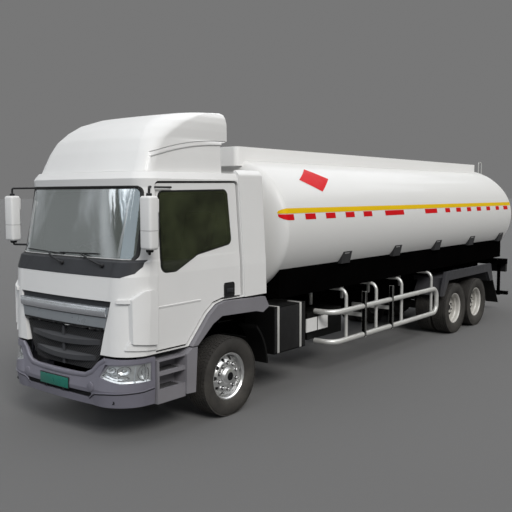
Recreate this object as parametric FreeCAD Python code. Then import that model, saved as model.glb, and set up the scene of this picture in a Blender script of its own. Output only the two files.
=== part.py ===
"""Tanker truck: three-axle rigid lorry with a tilting cab and a fixed oval tank.

Millimetres. +X is the truck's left side, +Y its rear and +Z up. Lengths along the truck are
written from the front axle (y = 0) and every shape is moved by SHIFT_Y as it is saved, so
the saved origin is on the ground, midway along the truck.
"""

import FreeCAD, Part
import math
import os

V = FreeCAD.Vector

# ---------------------------------------------------------------- driving dimensions
FRONT_Y = -1756.0          # bumper's nose
REAR_Y = 10340.0           # underrun bar's back
SHIFT_Y = -(FRONT_Y + REAR_Y) / 2.0

AXLE_Z = 500.0             # wheel centres, and the tyres' outer radius
REAR_AXLES_Y = (6880.0, 7970.0)
TYRE_W = 312.0
RIM_R = 298.0              # rim flange
BEAD_R = 285.0             # where the tyre sits on the rim
FRONT_TYRE_X = 1043.0      # middle of the front tyre
DUAL_X = (1074.0, 730.0)   # middles of the outer and the inner rear tyre
HUB_X = 902.0              # mounting face of the twin wheels

RAIL_X = (305.0, 385.0)    # frame rail, inner and outer face
RAIL_Z = (700.0, 970.0)
FRAME_FRONT_Y = -1330.0
FRAME_REAR_Y = 10080.0

KINGPIN_X = 868.0
KINGPIN_R = 26.0

TANK_Z = 2297.0
TANK_A = 1210.0            # half width
TANK_B = 1040.0            # half height
TANK_SIDE_R = 880.0        # the sides' arc
TANK_FRONT_Y = 1235.0      # seam of the front head
TANK_REAR_Y = 9950.0
HEAD_DEPTH = 250.0

FLOOR_Z = (1472.0, 1530.0)
WALL = 62.0                # cab wall and door
CAB_REAR_Y = 735.0
TILT_Y, TILT_Z = -1526.0, 1135.0
DOOR_AXIS = (1164.0, -1222.0)

COAMING_X = (400.0, 450.0)
COAMING_Y = (1010.0, 9660.0)
MANHOLES_Y = (2650.0, 5550.0, 8450.0)
BRACKETS_Y = (2915.0, 4612.0, 6278.0, 7957.0, 9646.0)


# ---------------------------------------------------------------- helpers
def box(x, y, z):
    """Block from three (low, high) pairs."""
    return Part.makeBox(x[1] - x[0], y[1] - y[0], z[1] - z[0], V(x[0], y[0], z[0]))


def outline(points, place):
    """Closed wire through (a, b, corner radius) rows; place turns (a, b) into a vector."""
    n = len(points)
    edges, ends = [], []
    for i in range(n):
        p = place(*points[i][:2])
        before, after = place(*points[i - 1][:2]), place(*points[(i + 1) % n][:2])
        r = points[i][2] if len(points[i]) > 2 else 0.0
        u, w = (before - p).normalize(), (after - p).normalize()
        if r <= 0.0:
            ends.append((p, None, p))
            continue
        half = math.acos(max(-1.0, min(1.0, u.dot(w)))) / 2.0
        reach = r / math.tan(half)
        centre = p + (u + w).normalize() * (r / math.sin(half))
        mid = centre + (p - centre).normalize() * r
        ends.append((p + u * reach, mid, p + w * reach))
    for i, (start, mid, end) in enumerate(ends):
        if mid is not None:
            edges.append(Part.Arc(start, mid, end).toShape())
        following = ends[(i + 1) % n][0]
        if (following - end).Length > 1e-6:
            edges.append(Part.makeLine(end, following))
    return Part.Wire(edges)


def prism_x(points, x0, x1):
    """Outline in (y, z), filled and swept from x0 to x1."""
    wire = outline(points, lambda a, b: V(x0, a, b))
    return Part.Face(wire).extrude(V(x1 - x0, 0, 0))


def prism_y(points, y0, y1):
    """Outline in (x, z), filled and swept from y0 to y1."""
    wire = outline(points, lambda a, b: V(a, y0, b))
    return Part.Face(wire).extrude(V(0, y1 - y0, 0))


def prism_z(points, z0, z1):
    """Outline in (x, y), filled and swept from z0 to z1."""
    wire = outline(points, lambda a, b: V(a, b, z0))
    return Part.Face(wire).extrude(V(0, 0, z1 - z0))


def both_ways(points):
    """Right half of an outline in x, from its first to its last row, closed by its mirror."""
    return list(points) + [(-p[0],) + tuple(p[1:]) for p in reversed(points)]


def rod(a, b, r):
    """Round bar from a to b."""
    a, b = V(*a), V(*b)
    return Part.makeCylinder(r, (b - a).Length, a, b - a)


def pipe(points, r):
    """Round tube's outer form along (x, y, z, bend radius) rows."""
    pts = [V(*p[:3]) for p in points]
    edges, start = [], pts[0]
    for i in range(1, len(pts) - 1):
        p, bend = pts[i], points[i][3]
        u, w = (pts[i - 1] - p).normalize(), (pts[i + 1] - p).normalize()
        half = math.acos(max(-1.0, min(1.0, u.dot(w)))) / 2.0
        reach = bend / math.tan(half)
        centre = p + (u + w).normalize() * (bend / math.sin(half))
        edges.append(Part.makeLine(start, p + u * reach))
        mid = centre + (p - centre).normalize() * bend
        edges.append(Part.Arc(p + u * reach, mid, p + w * reach).toShape())
        start = p + w * reach
    edges.append(Part.makeLine(start, pts[-1]))
    ring = Part.Wire([Part.makeCircle(r, pts[0], (pts[1] - pts[0]))])
    return Part.Wire(edges).makePipeShell([ring], True, True)


def turned(profile, centre):
    """Ring or disc turned about an axis along X from (x, radius) rows beside centre."""
    cx, cy, cz = centre
    pts = [V(cx + p[0], cy, cz + p[1]) for p in profile]
    face = Part.Face(Part.makePolygon(pts + [pts[0]]))
    return face.revolve(V(cx, cy, cz), V(1, 0, 0), 360)


def flip(shape):
    """The same piece on the other side of the truck."""
    return shape.mirror(V(0, 0, 0), V(1, 0, 0))


def pair(shape):
    return [shape, flip(shape)]


def fuse(shapes):
    """One solid from pieces that touch."""
    whole = shapes[0]
    for s in shapes[1:]:
        whole = whole.fuse(s)
    return whole.removeSplitter()


def cut(shape, tools):
    for t in tools:
        shape = shape.cut(t)
    return shape


def save(node, shapes):
    """Writes parts/NODE.step with one or several solids, moved to the saved origin."""
    shapes = shapes if isinstance(shapes, list) else [shapes]
    solids = [s.Solids[0] if len(s.Solids) == 1 else s for s in shapes]
    for s in solids:
        assert len(s.Solids) == 1, node + ": " + str(len(s.Solids)) + " solids in one piece"
        assert s.isValid(), node + " is not valid"
    whole = solids[0] if len(solids) == 1 else Part.makeCompound(solids)
    whole = whole.copy()
    whole.translate(V(0, SHIFT_Y, 0))
    whole.exportStep("parts/" + node + ".step")


# ---------------------------------------------------------------- plan sections
# Columns: z, y of the nose, (x, y) where the corner starts, (x, y) halfway round it,
# (x, y) where the side starts, (x, y) of the rear corner.
CAB_SECTIONS = (
    (1000, -1680, (800, -1645), (1035, -1555), (1140, -1370), (1152, CAB_REAR_Y)),
    (1500, -1660, (800, -1625), (1045, -1535), (1155, -1345), (1165, CAB_REAR_Y)),
    (1880, -1640, (815, -1603), (1062, -1512), (1157, -1325), (1160, CAB_REAR_Y)),
    (2036, -1583, (805, -1548), (1056, -1462), (1148, -1290), (1150, CAB_REAR_Y)),
    (2062, -1532, (800, -1499), (1037, -1422), (1142, -1272), (1148, CAB_REAR_Y)),
    (2860, -1385, (880, -1325), (1034, -1249), (1095, -1100), (1098, CAB_REAR_Y - 20)),
    (2960, -1399, (880, -1339), (1030, -1263), (1090, -1113), (1090, CAB_REAR_Y - 25)),
    (3040, -1350, (850, -1292), (982, -1219), (1037, -1077), (1060, CAB_REAR_Y - 30)),
)
SPOILER_SECTIONS = (
    (3042, -1320, (833, -1262), (956, -1195), (1002, -1064), (978, 105)),
    (3280, -1209, (806, -1152), (922, -1088), (968, -964), (950, 125)),
    (3420, -1130, (772, -1076), (897, -988), (941, -862), (930, 135)),
    (3444, -1114, (762, -1056), (892, -968), (938, -834), (905, 270)),
    (3560, -985, (700, -936), (856, -836), (928, -650), (905, 268)),
    (3660, -825, (610, -778), (795, -700), (912, -460), (900, 272)),
    (3740, -610, (500, -568), (732, -445), (882, -240), (880, 270)),
    (3790, -290, (400, -262), (680, -195), (842, -40), (842, 268)),
    (3812, -100, (300, -80), (600, 20), (750, 160), (785, 262)),
)
BUMPER_SECTIONS = (
    (430, -1725, (620, -1700), (965, -1610), (1105, -1400), (1125, -1245)),
    (620, -1756, (660, -1728), (990, -1630), (1125, -1400), (1142, -1245)),
    (970, -1690, (790, -1655), (1020, -1570), (1132, -1380), (1145, -1245)),
)


def section(row, t, rear=None):
    """Closed plan outline of one row, moved inwards by t."""
    z, nose, front, corner, side, back = row
    y_rear = (back[1] - t) if rear is None else rear
    fx, fy = front[0] - 0.35 * t, front[1] + t
    cx, cy = corner[0] - 0.72 * t, corner[1] + 0.72 * t
    sx, sy = side[0] - t, side[1] + 0.25 * t
    bx = back[0] - t
    edges = [
        Part.Arc(V(-fx, fy, z), V(0, nose + t, z), V(fx, fy, z)).toShape(),
        Part.Arc(V(fx, fy, z), V(cx, cy, z), V(sx, sy, z)).toShape(),
        Part.makeLine(V(sx, sy, z), V(bx, y_rear, z)),
        Part.makeLine(V(bx, y_rear, z), V(-bx, y_rear, z)),
        Part.makeLine(V(-bx, y_rear, z), V(-sx, sy, z)),
        Part.Arc(V(-sx, sy, z), V(-cx, cy, z), V(-fx, fy, z)).toShape(),
    ]
    return Part.Wire(edges)


def shell_form(rows, t=0.0, low=None, high=None, rear=None):
    """Solid through the sections, moved inwards by t; low and high stretch its ends."""
    rows = [list(r) for r in rows]
    if low is not None:
        rows[0][0] = low
    if high is not None:
        rows[-1][0] = high
    return Part.makeLoft([section(r, t, rear) for r in rows], True, True)


def between(rows, outer_t, inner_t, **ends):
    """Skin between two depths under the surface."""
    return shell_form(rows, outer_t).cut(shell_form(rows, inner_t, **ends))


# ---------------------------------------------------------------- wheels
RIM_W = 232.0
# Tyre's half profile over the rim, columns: x from the middle over half the width, radius.
TYRE_PROFILE = (
    (0.80, 306.0), (0.95, 350.0), (1.00, 400.0), (0.97, 448.0), (0.87, 484.0), (0.70, 497.0),
    (0.30, AXLE_Z),
)


def tyre(x, y):
    h = RIM_W / 2.0
    half = [(h - 16, BEAD_R), (h - 10, RIM_R), (h, RIM_R)]
    half += [(a * TYRE_W / 2.0, r) for a, r in TYRE_PROFILE]
    return turned(half + [(-a, r) for a, r in reversed(half)], (x, y, AXLE_Z))


def rim_profile(w):
    """Well of a wheel w wide, with its flanges, from (x, radius) rows."""
    h = w / 2.0
    outside = [(-h, RIM_R), (-h + 10, RIM_R), (-h + 16, BEAD_R), (-h + 70, BEAD_R - 6),
               (-h + 95, 262), (h - 95, 262), (h - 70, BEAD_R - 6), (h - 16, BEAD_R),
               (h - 10, RIM_R), (h, RIM_R)]
    inside = [(h, RIM_R - 14), (h - 20, BEAD_R - 16), (h - 74, BEAD_R - 20), (h - 96, 250),
              (-h + 96, 250), (-h + 74, BEAD_R - 20), (-h + 20, BEAD_R - 16), (-h, RIM_R - 14)]
    return outside + inside


HAND_HOLES = 10
STUDS = 10
STUD_PCD_R = 167.5
STUD_R = 15.0


def around(count, radius, y, phase=0.0):
    """Places round a wheel: (y, z) rows."""
    rows = []
    for i in range(count):
        a = 2.0 * math.pi * i / count + phase
        rows.append((y + radius * math.cos(a), AXLE_Z + radius * math.sin(a)))
    return rows


def front_wheel():
    """Single wheel with its bulged disc, hand holes, nuts and hub, on the left side."""
    c = (FRONT_TYRE_X, 0.0, AXLE_Z)
    well = turned(rim_profile(RIM_W), c)
    disc = turned([(-10, 252), (40, 252), (78, 215), (92, 195), (92, 100), (76, 100), (76, 188),
                   (62, 206), (26, 238), (-10, 240)], c)
    hub = turned([(-80, 42), (-80, 120), (60, 120), (76, 140), (96, 140), (96, 112), (128, 92),
                  (136, 60), (136, 0), (40, 0), (40, 42)], c)
    solid = fuse([well, disc, hub])
    holes = [rod((c[0] - 40, y, z), (c[0] + 130, y, z), 26)
             for y, z in around(HAND_HOLES, 222, 0.0)]
    nuts = [rod((c[0] + 80, y, z), (c[0] + 124, y, z), STUD_R)
            for y, z in around(STUDS, STUD_PCD_R, 0.0, math.pi / STUDS)]
    return fuse([cut(solid, holes)] + nuts)


def rear_wheels(y):
    """Twin wheels with dished discs and the hub between them, on the left side."""
    parts = []
    for x in DUAL_X:
        parts.append(turned(rim_profile(RIM_W), (x, y, AXLE_Z)))
    c = (HUB_X, y, AXLE_Z)
    dish = [(0, 100), (0, 200), (12, 214), (80, 260), (132, 272), (132, 258), (86, 246),
            (24, 203), (14, 192), (14, 100)]
    face = [(120, 100), (120, 204), (136, 216), (124, 240), (132, 272), (146, 272), (140, 240),
            (150, 218), (134, 202), (134, 100)]
    outer, inner = turned(face, c), turned([(-a, r) for a, r in dish], c)
    hub = turned([(-150, 62), (-150, 118), (-8, 118), (-8, 190), (20, 190), (20, 112), (150, 104),
                  (176, 84), (176, 0), (60, 0), (60, 62)], c)
    solid = fuse(parts + [outer, inner, hub])
    holes = [rod((c[0] - 90, hy, hz), (c[0] + 170, hy, hz), 24)
             for hy, hz in around(HAND_HOLES, 228, y)]
    nuts = [rod((c[0] + 125, ny, nz), (c[0] + 168, ny, nz), STUD_R)
            for ny, nz in around(STUDS, STUD_PCD_R, y, math.pi / STUDS)]
    return fuse([cut(solid, holes)] + nuts)


def save_wheels():
    wheel, rubber = front_wheel(), tyre(FRONT_TYRE_X, 0.0)
    save("front_wheel_left", wheel)
    save("front_wheel_right", flip(wheel))
    save("front_tyre_left", rubber)
    save("front_tyre_right", flip(rubber))
    for i, y in enumerate(REAR_AXLES_Y, 1):
        wheels, tyres = rear_wheels(y), [tyre(x, y) for x in DUAL_X]
        save("rear_wheels_%d_left" % i, wheels)
        save("rear_wheels_%d_right" % i, flip(wheels))
        save("rear_tyres_%d_left" % i, tyres)
        save("rear_tyres_%d_right" % i, [flip(t) for t in tyres])


# ---------------------------------------------------------------- axles and running gear
SPINDLE_R = 41.95          # runs in the hubs' 42 mm bores
DRIVE_TUBE_R = 61.95       # runs in the rear hubs' 62 mm bores


def knuckle():
    """Left steering knuckle: fork round the axle's eye, kingpin and wheel spindle."""
    fork = cut(box((KINGPIN_X - 48, KINGPIN_X + 70), (-60, 60), (AXLE_Z - 125, AXLE_Z + 125)),
               [box((KINGPIN_X - 60, KINGPIN_X + 52), (-80, 80), (AXLE_Z - 78, AXLE_Z + 78))])
    pin = rod((KINGPIN_X, 0, AXLE_Z - 110), (KINGPIN_X, 0, AXLE_Z + 110), KINGPIN_R)
    spindle = rod((KINGPIN_X + 60, 0, AXLE_Z), (FRONT_TYRE_X + 36, 0, AXLE_Z), SPINDLE_R)
    arm = fuse([box((KINGPIN_X - 48, KINGPIN_X + 20), (40, 120), (AXLE_Z - 120, AXLE_Z - 90)),
                rod((KINGPIN_X - 40, 220, AXLE_Z - 105), (KINGPIN_X - 40, 100, AXLE_Z - 105), 18)])
    return fuse([fork, pin, spindle, arm])


def front_axle():
    """Dropped forged beam with an eye at each end for its kingpin."""
    drop = 95.0
    beam = prism_y(both_ways([
        (KINGPIN_X - 20, AXLE_Z + 62, 0), (KINGPIN_X - 120, AXLE_Z + 62, 20),
        (560, AXLE_Z + 40 - drop, 40), (0, AXLE_Z + 40 - drop, 0)])[:3] + [
        (-560, AXLE_Z + 40 - drop, 40), (-KINGPIN_X + 120, AXLE_Z + 62, 20),
        (-KINGPIN_X + 20, AXLE_Z + 62, 0), (-KINGPIN_X + 20, AXLE_Z - 62, 0),
        (-KINGPIN_X + 140, AXLE_Z - 62, 20), (-580, AXLE_Z - 70 - drop, 40),
        (580, AXLE_Z - 70 - drop, 40), (KINGPIN_X - 140, AXLE_Z - 62, 20),
        (KINGPIN_X - 20, AXLE_Z - 62, 0)], -45, 45)
    eyes = [rod((s * KINGPIN_X, 0, AXLE_Z - 70), (s * KINGPIN_X, 0, AXLE_Z + 70), 44)
            for s in (1, -1)]
    bores = [rod((s * KINGPIN_X, 0, AXLE_Z - 90), (s * KINGPIN_X, 0, AXLE_Z + 90),
                 KINGPIN_R + 0.06) for s in (1, -1)]
    return cut(fuse([beam] + eyes), bores)


SPRING_X = 480.0


def front_spring():
    """Left parabolic leaf pack, arched, with its two eyes."""
    y, top, sag = 820.0, AXLE_Z + 190.0, 150.0
    upper = Part.Arc(V(SPRING_X, -y, top), V(SPRING_X, 0, top - sag), V(SPRING_X, y, top))
    lower = Part.Arc(V(SPRING_X, y, top - 24), V(SPRING_X, 0, top - sag - 55),
                     V(SPRING_X, -y, top - 24))
    wire = Part.Wire([upper.toShape(),
                      Part.makeLine(V(SPRING_X, y, top), V(SPRING_X, y, top - 24)),
                      lower.toShape(),
                      Part.makeLine(V(SPRING_X, -y, top - 24), V(SPRING_X, -y, top))])
    leaf = Part.Face(wire).extrude(V(80, 0, 0))
    eyes = [rod((SPRING_X, s * y, top - 8), (SPRING_X + 80, s * y, top - 8), 32)
            for s in (1, -1)]
    seat_z = AXLE_Z + 190.0 - sag - 55.0
    seat = box((SPRING_X - 10, SPRING_X + 90), (-70, 70), (AXLE_Z - 55, seat_z + 10))
    return fuse([leaf] + eyes + [seat])


def drive_axle(y):
    """Axle casing with its round differential and its tubes out to the hubs."""
    ball = Part.makeSphere(205, V(0, y, AXLE_Z)).common(
        box((-190, 190), (y - 150, y + 230), (AXLE_Z - 230, AXLE_Z + 230)))
    nose = rod((0, y, AXLE_Z), (0, y - 330, AXLE_Z + 40), 82)
    casing = box((-520, 520), (y - 65, y + 65), (AXLE_Z - 72, AXLE_Z + 72))
    tube = rod((-740, y, AXLE_Z), (740, y, AXLE_Z), 72)
    spindle = rod((-950, y, AXLE_Z), (950, y, AXLE_Z), DRIVE_TUBE_R)
    return fuse([casing, ball, nose, tube, spindle])


def bogie_spring():
    """Left inverted leaf pack that joins both drive axles, with its central trunnion."""
    y0, y1 = REAR_AXLES_Y
    mid = (y0 + y1) / 2.0
    x0, x1, z = 440.0, 530.0, AXLE_Z + 72.0
    upper = Part.Arc(V(x0, y0 - 70, z + 34), V(x0, mid, z + 150), V(x0, y1 + 70, z + 34))
    lower = Part.Arc(V(x0, y1 + 70, z), V(x0, mid, z + 60), V(x0, y0 - 70, z))
    wire = Part.Wire([upper.toShape(),
                      Part.makeLine(V(x0, y1 + 70, z + 34), V(x0, y1 + 70, z)),
                      lower.toShape(),
                      Part.makeLine(V(x0, y0 - 70, z), V(x0, y0 - 70, z + 34))])
    leaf = Part.Face(wire).extrude(V(x1 - x0, 0, 0))
    saddle = box((RAIL_X[1], x1), (mid - 110, mid + 110), (z + 40, z + 170))
    hanger = box((RAIL_X[1], RAIL_X[1] + 50), (mid - 160, mid + 160), (z + 60, RAIL_Z[1] - 30))
    return fuse([leaf, saddle, hanger])


SHAFT_R = 55.0


def propshaft(r):
    """Main shaft from the gearbox to the first drive axle."""
    return rod((0, 698, 880), (0, REAR_AXLES_Y[0] - 345, AXLE_Z + 47), r)


def save_running_gear():
    save("knuckle_left", knuckle())
    save("knuckle_right", flip(knuckle()))
    save("front_axle", front_axle())
    save("front_springs", pair(front_spring().cut(front_axle())))
    save("drive_axles", [drive_axle(y) for y in REAR_AXLES_Y])
    save("bogie_springs", pair(bogie_spring()))
    save("propshafts", [propshaft(SHAFT_R), rod((0, REAR_AXLES_Y[0] + 235, AXLE_Z + 60),
                                                (0, REAR_AXLES_Y[1] - 345, AXLE_Z + 42), 45)])


# ---------------------------------------------------------------- frame, engine, tank carriers
OUTLET_R, OUTLET_Z, OUTLET_END_Y = 55.0, 590.0, 10120.0
OUTLET_SPIGOT = 120.0      # free length behind the flange
COUPLING_HOLES = (160.0, 100.0, 10.5)      # spacing across, spacing in height, hole radius
TOW_SOCKET = (600.0, 640.0, 28.0, 140.0)   # x, z, radius, depth
TOW_FACE_Y = -1672.0
CROSS_MEMBERS_Y = (1500.0, 3000.0, 4700.0, 6250.0, 7425.0, 8700.0, 9980.0)


def chassis_frame():
    """Two rails, cross-members, front beam and the spring hangers."""
    rails = [box((s * RAIL_X[0] if s > 0 else -RAIL_X[1], s * RAIL_X[1] if s > 0 else -RAIL_X[0]),
                 (FRAME_FRONT_Y, FRAME_REAR_Y), RAIL_Z) for s in (1, -1)]
    members = [box((-RAIL_X[0], RAIL_X[0]), (y - 45, y + 45), (RAIL_Z[0] + 30, RAIL_Z[1] - 30))
               for y in CROSS_MEMBERS_Y]
    front = box((-640, 640), (FRAME_FRONT_Y - 60, FRAME_FRONT_Y + 30), (RAIL_Z[0] - 70, RAIL_Z[1]))
    hangers = []
    for y in (-820.0, 820.0):
        hanger = box((RAIL_X[1], SPRING_X + 80), (y - 60, y + 60), (AXLE_Z + 216, RAIL_Z[1] - 40))
        hangers += pair(hanger)
    tilt_posts = pair(fuse([
        box((RAIL_X[0], RAIL_X[1]), (FRAME_FRONT_Y - 80, FRAME_FRONT_Y + 120), (RAIL_Z[1], TILT_Z - 60)),
        box((RAIL_X[0], RAIL_X[1]), (TILT_Y - 45, FRAME_FRONT_Y), (TILT_Z - 130, TILT_Z - 60)),
        box((RAIL_X[0], RAIL_X[1]), (TILT_Y - 45, TILT_Y + 45), (TILT_Z - 130, TILT_Z + 45))]))
    rests = pair(box((RAIL_X[0], RAIL_X[1]), (560, 660), (RAIL_Z[1], FLOOR_Z[0] - 12)))
    frame = fuse(rails + members + [front] + hangers + tilt_posts + rests)
    frame = frame.cut(propshaft(SHAFT_R + 25))
    dx, dz, r = COUPLING_HOLES
    mid_z = (RAIL_Z[0] + RAIL_Z[1]) / 2.0
    y = CROSS_MEMBERS_Y[-1]
    holes = [rod((sx * dx / 2, y - 60, mid_z + sz * dz / 2), (sx * dx / 2, y + 60, mid_z + sz * dz / 2), r)
             for sx in (1, -1) for sz in (1, -1)]
    frame = cut(frame, holes)
    pins = [rod((s * 290, TILT_Y, TILT_Z), (s * 400, TILT_Y, TILT_Z), 25.05) for s in (1, -1)]
    return cut(frame, pins)


def engine():
    """Engine and gearbox as one plain block between the rails, under the cab's floor."""
    return fuse([box((-290, 290), (-900, 260), (640, 1420)),
                 box((-230, 230), (260, 690), (640, 1130))])


HOOKS_Y = (2915.0, 3875.0, 4790.0, 6010.0)   # side guards' hooked uprights


def tank_cradle():
    """Long bearers on the rails that carry the tank, with cross bolsters at the brackets."""
    low = RAIL_Z[1]
    bearers = pair(box((295, 395), (TANK_FRONT_Y + 60, TANK_REAR_Y - 70), (low, 1420)))
    bolsters = [prism_y(both_ways([(980, 1560), (980, 1420), (395, 1130)]), y - 40, y + 40)
                for y in BRACKETS_Y]
    hook_y = HOOKS_Y[0]
    notch = pair(box((395, 820), (hook_y - 45, hook_y + 45), (1100, 1318)))
    return cut(fuse(bearers + bolsters), notch + [tank_form(0.3)])


def save_frame():
    save("chassis_frame", chassis_frame())
    save("engine", engine())
    save("tank_cradle", tank_cradle())


# ---------------------------------------------------------------- tank
# Columns: distance past the seam over the head's depth, size over the shell's size.
HEAD_ROWS = (
    (0.00, 1.000), (0.16, 0.988), (0.32, 0.958), (0.50, 0.895), (0.68, 0.780), (0.83, 0.620),
    (0.94, 0.400), (1.00, 0.120),
)


def oval(y, scale=1.0, grow=0.0):
    """Four-arc tank section across the truck at y."""
    a, b, r = TANK_A * scale + grow, TANK_B * scale + grow, TANK_SIDE_R * scale + grow
    big = (a * a - 2 * a * r + b * b) / (2 * (b - r))
    sx, top_z = a - r, b - big
    dx, dz = sx / (big - r), -top_z / (big - r)
    join = (sx + r * dx, r * dz)
    side = [V(join[0], y, TANK_Z - join[1]), V(a, y, TANK_Z), V(join[0], y, TANK_Z + join[1])]
    left = [V(-p.x, p.y, p.z) for p in reversed(side)]
    return Part.Wire([
        Part.Arc(*side).toShape(),
        Part.Arc(side[2], V(0, y, TANK_Z + b), left[0]).toShape(),
        Part.Arc(*left).toShape(),
        Part.Arc(left[2], V(0, y, TANK_Z - b), side[0]).toShape(),
    ])


def tank_form(grow=0.0):
    """Shell and both dished heads."""
    wires = [oval(TANK_FRONT_Y - d * HEAD_DEPTH, s, grow) for d, s in reversed(HEAD_ROWS)]
    wires += [oval(TANK_REAR_Y + d * HEAD_DEPTH, s, grow) for d, s in HEAD_ROWS]
    return Part.makeLoft(wires, True, True)


BRACKET_HALF = 130.0
BRACKET_Z = (1700.0, 1896.0)
SKIRT_X = (984.0, 1004.0)
SKIRT_Y = (1262.0, 9900.0)


def tank_skirt():
    """Left side panel under the tank's flank, returned across under the front head."""
    low, high = 1318, 1735
    side = box(SKIRT_X, SKIRT_Y, (low, high))
    front = box((500, SKIRT_X[1]), (SKIRT_Y[0], SKIRT_Y[0] + 20), (low, high))
    reach = BRACKET_HALF + 1
    gaps = [box((970, 1020), (y - reach, y + reach), (BRACKET_Z[0] - 2, 1800)) for y in BRACKETS_Y]
    return cut(side.fuse(front), gaps + [tank_form(0.3)])


def tank_brackets():
    """Five lifting brackets on the tank's left flank, with a slot near the top."""
    made = []
    for y in BRACKETS_Y:
        z0, z1 = BRACKET_Z
        plate = prism_y([(976, z0), (1066, z0), (1112, z1), (1020, z1)], y - BRACKET_HALF, y + BRACKET_HALF)
        slot = box((900, 1200), (y - 80, y + 80), (z1 - 44, z1 - 24))
        made.append(cut(plate, [tank_form(0.3), slot]))
    return made


COAMING_TOP = 3450.0


def coaming():
    """Round-cornered spill wall round the manholes on the tank's top."""
    (inner, outer), (y0, y1) = COAMING_X, COAMING_Y
    wall, z0 = outer - inner, 3180
    ring = prism_z([(-outer, y0, 70), (outer, y0, 70), (outer, y1, 70), (-outer, y1, 70)], z0, COAMING_TOP)
    room = prism_z([(-inner, y0 + wall, 30), (inner, y0 + wall, 30), (inner, y1 - wall, 30),
                    (-inner, y1 - wall, 30)], z0 - 10, COAMING_TOP + 10)
    return cut(ring, [room, tank_form(0.3)])


def manhole_collar(y):
    """Round collar on the tank's crown with the hinge lug behind it."""
    collar = Part.makeCylinder(270, 110, V(0, y, 3290)).cut(
        Part.makeCylinder(235, 200, V(0, y, 3270)))
    lug = [box((s * 60 - 14, s * 60 + 14), (y + 292, y + 330), (3300, 3428)) for s in (1, -1)]
    base = box((-74, 74), (y + 250, y + 330), (3290, 3340))
    bore = rod((-90, y + 305, 3412), (90, y + 305, 3412), 8.05)
    return cut(fuse([collar, base] + lug), [bore, Part.makeCylinder(235, 200, V(0, y, 3270)), tank_form(0.5)])


def manhole_lid(y):
    """Domed lid with its rim, hinge tongue and handle."""
    disc = Part.makeCylinder(285, 16, V(0, y, 3402))
    dome = Part.makeCone(240, 150, 26, V(0, y, 3418))
    tongue = box((-40, 40), (y + 240, y + 310), (3404, 3420))
    knuckle_ = rod((-44, y + 305, 3412), (44, y + 305, 3412), 15)
    pin = rod((-84, y + 305, 3412), (84, y + 305, 3412), 8)
    handle = box((-70, 70), (y - 300, y - 262), (3402, 3418))
    return fuse([disc, dome, tongue, knuckle_, pin, handle])


def save_tank():
    save("tank_shell", tank_form())
    save("tank_skirts", pair(tank_skirt()))
    save("tank_brackets", [s for b in tank_brackets() for s in pair(b)])
    save("coaming", coaming())
    save("manhole_collars", [manhole_collar(y) for y in MANHOLES_Y])
    for i, y in enumerate(MANHOLES_Y, 1):
        save("manhole_lid_%d" % i, manhole_lid(y))


# ---------------------------------------------------------------- front end on the chassis
BUMPER_WALL = 35.0


def bumper():
    """Bumper shell with the grille's mouth, the air slot, lamp pockets and tow eye."""
    form = shell_form(BUMPER_SECTIONS)
    skin = form.cut(shell_form(BUMPER_SECTIONS, BUMPER_WALL, 420, 990, -1200))
    mouth = prism_y(both_ways([(815, 1000), (675, 905), (560, 795, 30), (420, 772)]), -2000, -1300)
    slot = prism_y(both_ways([(600, 575), (620, 515)]), -2000, -1300)
    x, z, r, depth = TOW_SOCKET
    lamp = lamp_region(0.0)
    skin = cut(skin, [mouth, slot, lamp, flip(lamp)])
    stay = box((x - 68, x + 68), (-1800, FRAME_FRONT_Y - 60), (z - 65, z + 65)).common(
        form.fuse(box((x - 68, x + 68), (-1600, FRAME_FRONT_Y - 60), (z - 65, z + 65))))
    whole = fuse([skin] + pair(stay))
    recess = rod((x, -2000, z), (x, TOW_FACE_Y, z), r + 24)
    socket = rod((x, -2000, z), (x, TOW_FACE_Y + depth, z), r)
    return cut(whole, pair(recess) + pair(socket))


def lamp_region(gap):
    """Space of the left headlamp seen from the front, less a gap all round."""
    g = gap
    front = prism_y([(720 + g, 762 + g), (1000, 700 + g), (1300, 700 + g), (1300, 930 - g),
                     (790 + g, 905 - g)], -2000, -1290 - g)
    return front


def headlamp():
    """Left wrap-round headlamp in its pocket."""
    return between(BUMPER_SECTIONS, 4, 52, low=420, high=990, rear=-1200).common(lamp_region(4.0))


def lower_grille():
    """Mesh panel below the grille panel with two bowed bars and a middle strut."""
    half = [(730, 1250), (647, 970), (545, 818), (418, 797)]
    panel = prism_y(both_ways(half), -1606, -1586)
    bars = []
    for z, w in ((1102, 694), (914, 598)):
        a, b, c = V(-w, -1600, z), V(0, -1655, z - 44), V(w, -1600, z)
        front = Part.Arc(a, b, c).toShape()
        bars.append(Part.Face(Part.Wire([front, Part.makeLine(c, a)])).extrude(V(0, 0, 60)))
    strut = box((-22, 22), (-1632, -1590), (804, 1250))
    stay = [box((-640, 640), (-1590, FRAME_FRONT_Y - 60), (860, 930))]
    return fuse([panel] + bars + [strut] + stay)


def entry_step():
    """Left step box with two treads, and the front leg of the wheel arch."""
    y0, y1, x0, x1 = -1236.0, -660.0, 820.0, 1168.0
    body = box((x0, x1), (y0, y1 - 130), (425, 925))
    wells = [box((x0 + 170, x1 + 40), (y0 + 30, y1 - 130), z) for z in ((585, 742), (788, 905))]
    leg = prism_x([(-803, 456), (-650, 446), (-612, 985), (-700, 985), (-790, 925)], x0, 1200)
    stay = box((RAIL_X[1], x0 + 20), (y0 + 150, y0 + 260), (720, 800))
    return fuse([cut(body, wells), leg, stay])


def front_mudguard():
    """Left quarter mudguard behind the front wheel."""
    arc = [rod((880, 0, AXLE_Z), (1160, 0, AXLE_Z), 800), rod((860, 0, AXLE_Z), (1180, 0, AXLE_Z), 770)]
    ring = arc[0].cut(arc[1])
    keep = prism_x([(560, 520), (900, 520), (900, 1160), (560, 1160)], 870, 1170)
    stay = box((RAIL_X[1], 900), (690, 740), (800, 850))
    return fuse([ring.common(keep), stay])


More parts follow.
